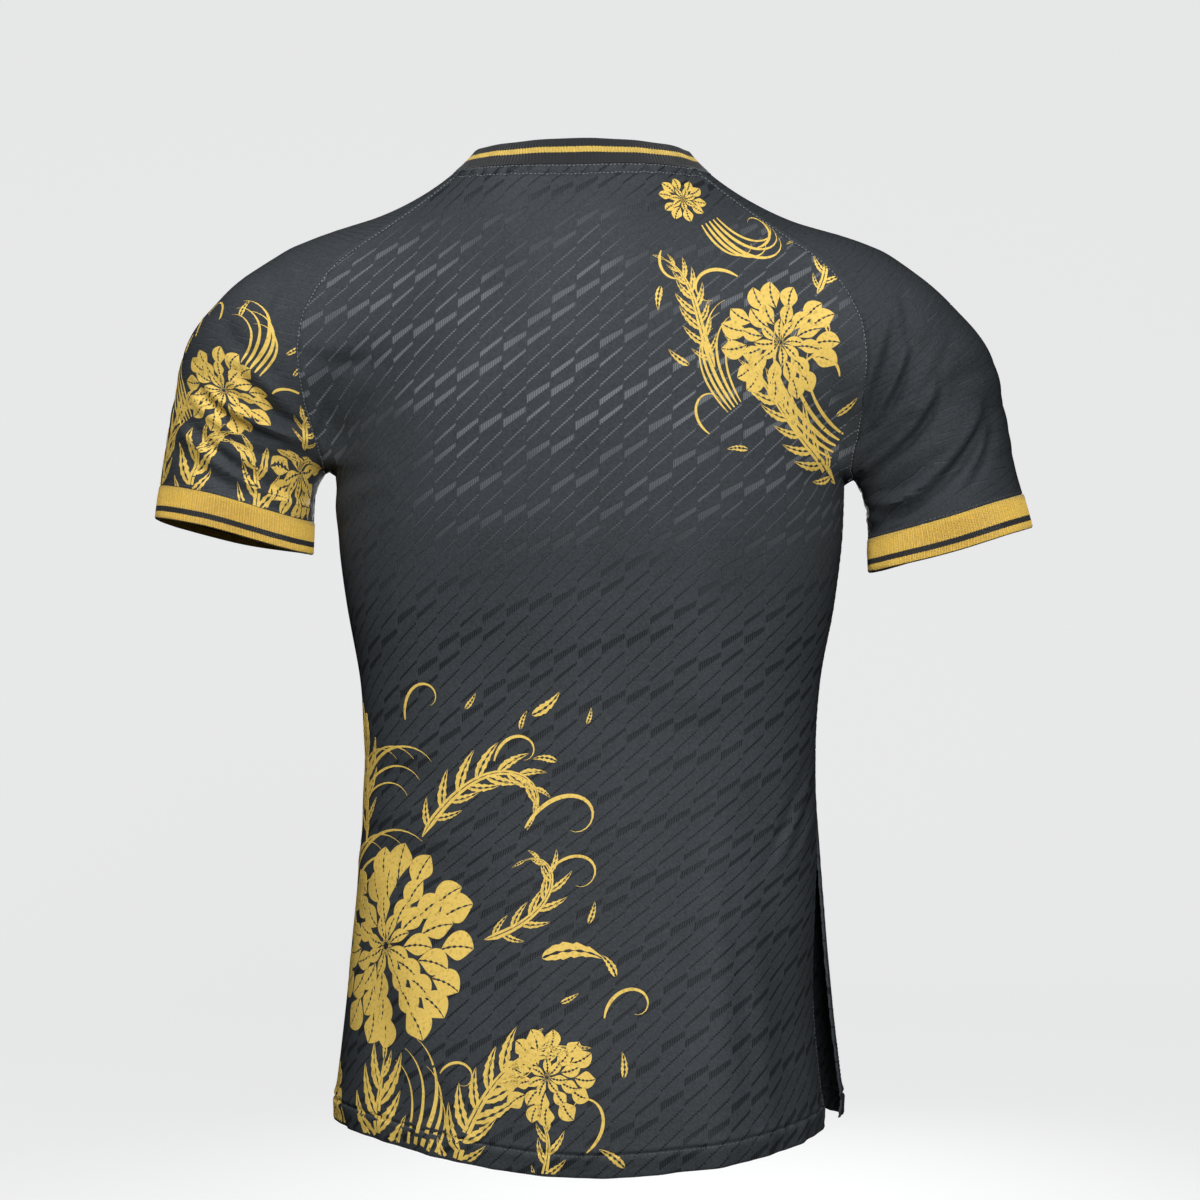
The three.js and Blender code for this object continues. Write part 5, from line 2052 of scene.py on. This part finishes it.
@dataclass
class Studio:
    """A round pale floor that sweeps up into a wall, soft lamps and the camera, in metres."""

    floor_z: float = -1.02
    pole_radius: float = 0.05  # of the flat cap at the floor's middle
    floor_radius: float = 3.4
    wall_radius: float = 4.6
    wall_height: float = 5.2
    floor_rings: int = 12
    corner_rings: int = 25
    sides: int = 96
    shade: Colour = (0.20, 0.203, 0.207)
    glow: Colour = (0.778, 0.780, 0.783)  # evens the paper out where the camera sees it
    unseen: Colour = (0.04, 0.04, 0.04)  # the paper as the jersey sees it, so that its sides stay dark
    air: Colour = (0.95, 0.97, 1.0)
    air_strength: float = 0.03
    camera_distance: float = 2.0
    camera_z: float = -0.345
    camera_turn: float = 4.5  # degrees towards +X from straight behind
    centre_z: float = -0.3096
    beside: float = 0.00792
    lens: float = 83.33
    lamps: tuple[Lamp, ...] = (
        Lamp("overhead", (-0.45, -1.1, 1.5), (0.0, 0.0, -0.2), 0.7, 10.5, 110),
        Lamp("key", (0.65, -2.7, 0.3), (0.0, 0.0, -0.35), 0.8, 11.5, 70),
        Lamp("front", (0.0, 2.7, -0.1), (0.0, 0.0, -0.38), 1.0, 16, 70),
        Lamp("side", (3.0, 0.3, 0.9), (0.0, 0.0, -0.35), 1.2, 0.8, 90),
        Lamp("other side", (-3.0, 0.3, 0.9), (0.0, 0.0, -0.35), 1.2, 0.8, 90),
    )

    def paper(self) -> Material:
        """Makes the paper: one tone to the camera, evened out by a glow, and a dark one to everything else.

        Returns:
            The material.
        """
        material, w, shader = new_material("pale studio paper")
        tone = w.ramp(w.noise(w.place(), 1.2, 1.0), 0.2, 0.8, 0.985, 1.0)
        seen = w.add("ShaderNodeLightPath").outputs["Is Camera Ray"]
        paper = w.tint((*self.shade, 1), tone)
        w.feed(shader.inputs["Base Color"], w.blend(seen, (*self.unseen, 1), paper))
        w.feed(shader.inputs["Emission Color"], w.blend(seen, (0, 0, 0, 1), (*self.glow, 1)))
        shader.inputs["Emission Strength"].default_value = 1.0
        w.feed(shader.inputs["Roughness"], tone * 0.05 + 0.85)
        return material

    def sweep(self) -> None:
        """Makes the floor and wall as one turned surface: level, then a quarter of a round, then upright."""
        corner = np.linspace(0, 1, self.corner_rings)[1:] * np.pi / 2
        bend = self.wall_radius - self.floor_radius
        level = np.linspace(self.pole_radius, self.floor_radius, self.floor_rings)
        radius = np.concatenate([level, self.floor_radius + bend * np.sin(corner), [self.wall_radius]])
        z = np.concatenate([0 * level, bend * (1 - np.cos(corner)), [self.wall_height]]) + self.floor_z
        turn = np.linspace(0, 2 * np.pi, self.sides, endpoint=False)
        rings = radius[:, None] * np.cos(turn), radius[:, None] * np.sin(turn), z[:, None] + 0 * turn
        faces = quads(len(radius), self.sides, ring=True).tolist() + [list(range(self.sides))]
        mesh = bpy.data.meshes.new("studio_floor")
        mesh.from_pydata(np.stack(rings, axis=-1).reshape(-1, 3).tolist(), [], faces)
        mesh.shade_smooth()
        mesh.materials.append(self.paper())
        floor = bpy.data.objects.new("studio_floor", mesh)
        bpy.context.scene.collection.objects.link(floor)

    def camera(self) -> None:
        """Places the camera behind the jersey, a little to its right and below the middle of the back."""
        a = math.radians(self.camera_turn)
        right = np.array([math.cos(a), math.sin(a), 0.0])
        behind = np.array([math.sin(a), -math.cos(a), 0.0]) * self.camera_distance
        place = behind + right * self.beside + [0.0, 0.0, self.camera_z]
        target = right * self.beside + [0.0, 0.0, self.centre_z]
        data = bpy.data.cameras.new("camera")
        data.lens, data.sensor_width, data.sensor_fit, data.clip_end = self.lens, 36.0, "AUTO", 50
        bpy.context.scene.camera = stand("camera", data, place, right, unit(place - target))

    def build(self) -> None:
        """Sets the stage."""
        self.sweep()
        for lamp in self.lamps:
            lamp.build()
        world = bpy.data.worlds.new("studio air")
        world.use_nodes = True
        background = world.node_tree.nodes["Background"]
        background.inputs[0].default_value = (*self.air, 1)
        background.inputs[1].default_value = self.air_strength
        bpy.context.scene.world = world
        bpy.context.scene.view_settings.view_transform = "Standard"
        self.camera()


# ---- The jersey ----

HEM_DEPTH = 15.6
HEM_ROWS = (0, 0.7, 1.5, 2.6, 4.2, 6.2, 8.4, 10.6, 12.4, 13.6, 14.4, 15.0, 15.6, 16.2, 16.9, 17.8, 19.2, 21.2)
NECK_STITCH = 7.4
NECK_SEAM = 0.9  # how far the stitches beside the neck seam lie from it
BLACK: Colour = (0.016, 0.017, 0.019)
GOLD: Colour = (0.760, 0.500, 0.090)
NECK_GOLD: Colour = (0.67, 0.465, 0.095)
EDGE_BROWN: Colour = (0.05, 0.035, 0.012)
SIDES = {"left": -1.0, "right": 1.0}


def dress(pieces: dict[str, Piece], slots: dict[str, str]) -> dict[str, Piece]:
    """Shows pieces for their nodes.

    Args:
        pieces: Each node's piece.
        slots: Each node's slot; not used.

    Returns:
        The pieces.
    """
    for node, piece in pieces.items():
        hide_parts(node)
    return pieces


class Jersey:
    """The whole jersey: four panels, three bands, its print and its sewing."""

    def __init__(self, groups: Groups) -> None:
        """Works the panels out and makes the finishes.

        Args:
            groups: The shared effects.
        """
        hem = [(-1, 0), (-0.6, 1), (-0.4, 6), (-0.1, 18), (0.12, 22.5), (0.35, 18.5), (0.6, 11), (1, 0)]
        self.back_cut = BodyCut(Facing.BACK, CubicTable(hem), HEM_SIDE_Z, 3, 1.1)
        front_hem = CubicTable([(-1, 0), (0, 7), (1, 0)])
        self.front_cut = BodyCut(Facing.FRONT, front_hem, HEM_SIDE_Z + 4, 46, 1.25)
        self.sleeve_cut = SleeveCut()
        edges = {"hem_depth": HEM_DEPTH, "neck_stitch": NECK_STITCH}
        back_cloth = Cloth(LARGE_FOLDS + FINE_CREASES_BACK, -1, hem_curl=1.0, vent_tuck=13, **edges)
        front_cloth = Cloth(FINE_CREASES_FRONT, 1, hem_curl=0.8, **edges)
        sleeve_cloth = Cloth(LARGE_FOLDS[:7] + FINE_CREASES_SLEEVE, -1)
        back_rows, front_rows = steps_along(152, 76, HEM_ROWS), steps_along(104, 54, HEM_ROWS, 462)
        self.back = Panel("back_cloth", self.back_cut, steps_across(150), back_rows, back_cloth)
        self.front = Panel("front_cloth", self.front_cut, steps_across(100), front_rows, front_cloth)
        across, rows = steps_across(128), steps_along(12, 88)
        self.sleeves = {
            side: Panel(f"sleeve_{side}_cloth", self.sleeve_cut, across, rows, sleeve_cloth, sign)
            for side, sign in SIDES.items()
        }
        self.cloth = JacquardKnit("charcoal jacquard knit").build(groups)
        streaks = {"column": 23.0, "row": 6.4, "thin": 0.5, "thick": 1.5, "painted_sheen": 0.42, "strength": 0.75}
        left = JacquardKnit("charcoal left sleeve knit", slope=-0.16, step=-3.4, **streaks)
        # the right sleeve's ground is darker than the left sleeve's and the body's: painted shade on that
        # side
        right = JacquardKnit(
            "charcoal right sleeve knit", (0.031, 0.0355, 0.040), slope=0.27, step=5.9, **streaks
        )
        self.sleeve_cloth = {"left": left.build(groups), "right": right.build(groups)}
        neck_stripes = (Stripe(9.4, BLACK), Stripe(13.9, NECK_GOLD), Stripe(30, BLACK))
        cuff_stripes = (Stripe(14.5, GOLD), Stripe(18.5, BLACK), Stripe(23.3, GOLD), Stripe(30, EDGE_BROWN))
        self.neck_rib = RibKnit("black rib with a gold stripe", neck_stripes).build(groups)
        self.cuff_rib = RibKnit("gold rib with a black stripe", cuff_stripes).build(groups)
        self.gold = GoldInk("gold ink").build(groups)
        self.light_thread = Yarn("grey thread", (0.20, 0.21, 0.22)).build(groups)
        self.dark_thread = Yarn("dark thread", (0.075, 0.080, 0.086)).build(groups)

    def panels(self) -> dict[str, Piece]:
        """Makes the four panels.

        Returns:
            Each node's piece.
        """
        pieces = {"back": wall_piece(self.back, self.cloth), "front": wall_piece(self.front, self.cloth)}
        for side, sleeve in self.sleeves.items():
            pieces["sleeve_" + side] = wall_piece(sleeve, self.sleeve_cloth[side])
        return dress(pieces, dict.fromkeys(pieces, "jacquard_knit"))

    def bands(self) -> dict[str, Piece]:
        """Makes the neckband and the cuffs.

        Returns:
            Each node's piece.
        """
        neck = Band(21, wales=250, per_wale=5)
        rings = neck_rings(neck, self.back_cut, self.front_cut, self.sleeve_cut)
        pieces = {"neckband": neck.piece("neckband_rib", *rings, 1.0, self.neck_rib)}
        cuff = Band(24, wales=280, per_wale=4)
        rings = cuff_rings(cuff, self.sleeve_cut)
        for side, sign in SIDES.items():
            pieces["cuff_" + side] = cuff.piece(f"cuff_{side}_rib", *rings, sign, self.cuff_rib)
        return dress(pieces, {"neckband": "black_rib", "cuff_left": "gold_rib", "cuff_right": "gold_rib"})

    def low_print(self) -> Piece:
        """Prints sprays low on the left of the back, about a large flower and two small ones.

        Returns:
            The object.
        """
        ink = Print()
        ink.bloom((-122, -556), 74, (17, 14, 11, 8), 22)
        ink.bloom((6, -640), 33, (13, 10, 7), -24)
        ink.bloom((-196, -668), 27, (11, 9, 6), 24)
        ink.sprays(
            (-122, -716, 92, 82, -8, 0, 4.2, 4, 42), (-62, -716, 74, 138, -18, -64, 3.4, 8, 34),
            (-168, -716, 96, 60, 24, 40, 3.0, 4, 24), (-166, -486, 92, 138, 26, 90, 3.0, 8, 30),
            (-104, -478, 66, 120, -58, -120, 2.8, 7, 28), (-44, -548, 16, 92, 62, 130, 2.4, 6, 22),
            (2, -716, 70, 50, 20, 40, 2.2, 3, 20), (-226, -590, 96, 96, -22, -60, 2.4, 6, 24),
        )
        ink.wisps(
            (-206, -560, 74, 150, -40, -70, 2.1), (-94, -712, 60, 104, 20, 70, 1.7),
            (-196, -470, 60, 118, -30, -80, 1.6),
        )
        ink.hooks(
            (-30, -470, 70, 84, -120, -160, 1.5), (-8, -500, 60, 60, -150, -120, 1.0),
            (-58, -424, 84, 54, -140, -130, 1.1), (-128, -396, 100, 58, -120, -150, 1.1),
            (44, -600, 86, 60, -140, -150, 1.2), (-70, -640, 60, 44, -150, -120, 0.9),
            (34, -690, 40, 60, 100, 140, 1.1), (-210, -500, 110, 50, -110, -140, 1.0),
        )
        ink.petals(
            (-32, -392, 20, 26, 40), (-14, -424, 150, 18, 50), (6, -398, 60, 12, 30), (-2, -560, 30, 44, -60),
            (26, -536, 70, 16, 30), (50, -572, 110, 20, 40), (-40, -402, 85, 14, -30), (58, -640, 80, 18, 30),
            (-80, -388, 40, 14, 30), (60, -700, 130, 22, 30), (14, -590, 20, 14, 20),
            (-180, -410, 70, 18, 30),
        )
        return ink.piece("print_low_back", self.back, self.gold)

    def high_print(self) -> Piece:
        """Prints sprays on the right shoulder blade, about a flower, with a small one by the neck.

        Returns:
            The object.
        """
        ink = Print()
        ink.bloom((142, -128), 42, (15, 12, 8), 24)
        ink.bloom((76, -28), 17, (10, 7), -24)
        ink.sprays(
            (204, -222, 152, 128, -46, 30, 3.4, 8, 27), (96, -150, 116, 84, -40, 80, 2.6, 7, 20),
            (168, -92, 60, 56, 46, 100, 2.0, 4, 17),
        )
        ink.wisps(
            (196, -196, 160, 112, -54, -40, 1.7), (94, -44, -58, 74, 60, 110, 1.4),
            (110, -176, 130, 84, -40, -60, 1.2),
        )
        ink.hooks(
            (112, -84, 150, 56, 120, 120, 1.2), (186, -150, 100, 50, 150, 120, 1.0),
            (92, -196, 150, 46, -130, -90, 0.9), (58, -70, 250, 40, 120, 120, 0.9),
            (128, -60, 20, 44, 130, 110, 0.9),
        )
        ink.petals(
            (58, -96, 250, 18, 30), (190, -176, 30, 16, 40), (176, -120, 100, 14, 30),
            (78, -150, 160, 18, -30), (120, -204, 170, 16, 30),
        )
        return ink.piece("print_high_back", self.back, self.gold)

    def sleeve_print(self) -> Piece:
        """Prints sprays and two flowers on the left sleeve.

        Returns:
            The object.
        """
        ink = Print()
        ink.bloom((-84, -150), 38, (14, 11, 8), -24)
        ink.bloom((-146, -208), 24, (11, 8), 24)
        ink.sprays(
            (-64, -250, 84, 74, 24, 60, 3.0, 5, 28), (-112, -250, 98, 66, -20, -80, 2.8, 4, 26),
            (-26, -248, 88, 110, 20, 90, 2.6, 7, 22), (-148, -178, 84, 74, 22, 80, 2.2, 6, 18),
        )
        ink.wisps((-104, -118, 100, 78, -60, -90, 1.5), (-52, -182, 60, 66, -50, 60, 1.3))
        ink.hooks(
            (-46, -116, 70, 56, -140, -120, 1.2), (-122, -130, 110, 52, 140, 130, 1.1),
            (-60, -96, 80, 40, -150, -110, 0.9),
        )
        ink.petals(
            (-74, -84, 60, 16, 30), (-118, -90, 120, 14, -30), (-34, -130, 100, 16, 20),
            (-132, -104, 80, 12, 20),
        )
        return ink.piece("print_sleeve_left", self.sleeves["left"], self.gold)

    def sewing(self) -> list[Piece]:
        """Sews the seams.

        The raglans and the neck have light stitches, the hems, vents and cuffs dark ones, and the side and
        raglan seams their allowances inside.

        Returns:
            The three pieces.
        """
        back, front, sleeves = self.back, self.front, self.sleeves.values()
        dark = Thread(pitch=3.1, length=2.2, width=0.5, height=0.22)
        edges = [(panel, side) for panel in (back, front) for side in (-1, 1)]
        light = [along_edge(panel, side * 0.9985, 1.01, 1.985, 0.35) for panel, side in edges]
        light += [along_row(back, NECK_SEAM, True, 0.99), along_row(back, NECK_STITCH, True, 0.97)]
        light += [along_row(front, NECK_STITCH, True, 0.97), along_row(front, NECK_SEAM, True, 0.99)]
        light += [along_row(sleeve, NECK_SEAM, True, 0.96) for sleeve in sleeves]
        hems = [along_row(panel, HEM_DEPTH, False, 0.985, 0.0) for panel in (back, front)]
        hems += [along_edge(panel, side * 0.972, 0.035, 0.19, 0.0) for panel, side in edges]
        hems += [along_row(sleeve, 1.6, False, 0.99, 0.0) for sleeve in sleeves]
        seams = [(panel, side, 0.19 if panel is back else 1.0, 1.985) for panel, side in edges]
        return [
            Thread().piece("seam_stitches", light, self.light_thread),
            dark.piece("hem_stitches", hems, self.dark_thread),
            allowance("seam_allowances", seams, self.dark_thread),
        ]

    def build(self) -> None:
        pieces = {**self.panels(), **self.bands()}
        back_prints, sleeve_print = [self.low_print(), self.high_print()], self.sleeve_print()
        sewing = self.sewing()


def main() -> None:
    """Sets the studio and builds the jersey."""
    logging.basicConfig(level=logging.INFO, format="%(name)s: %(message)s")
    Studio().build()
    Jersey(Groups()).build()


if __name__ == "__main__":
    main()
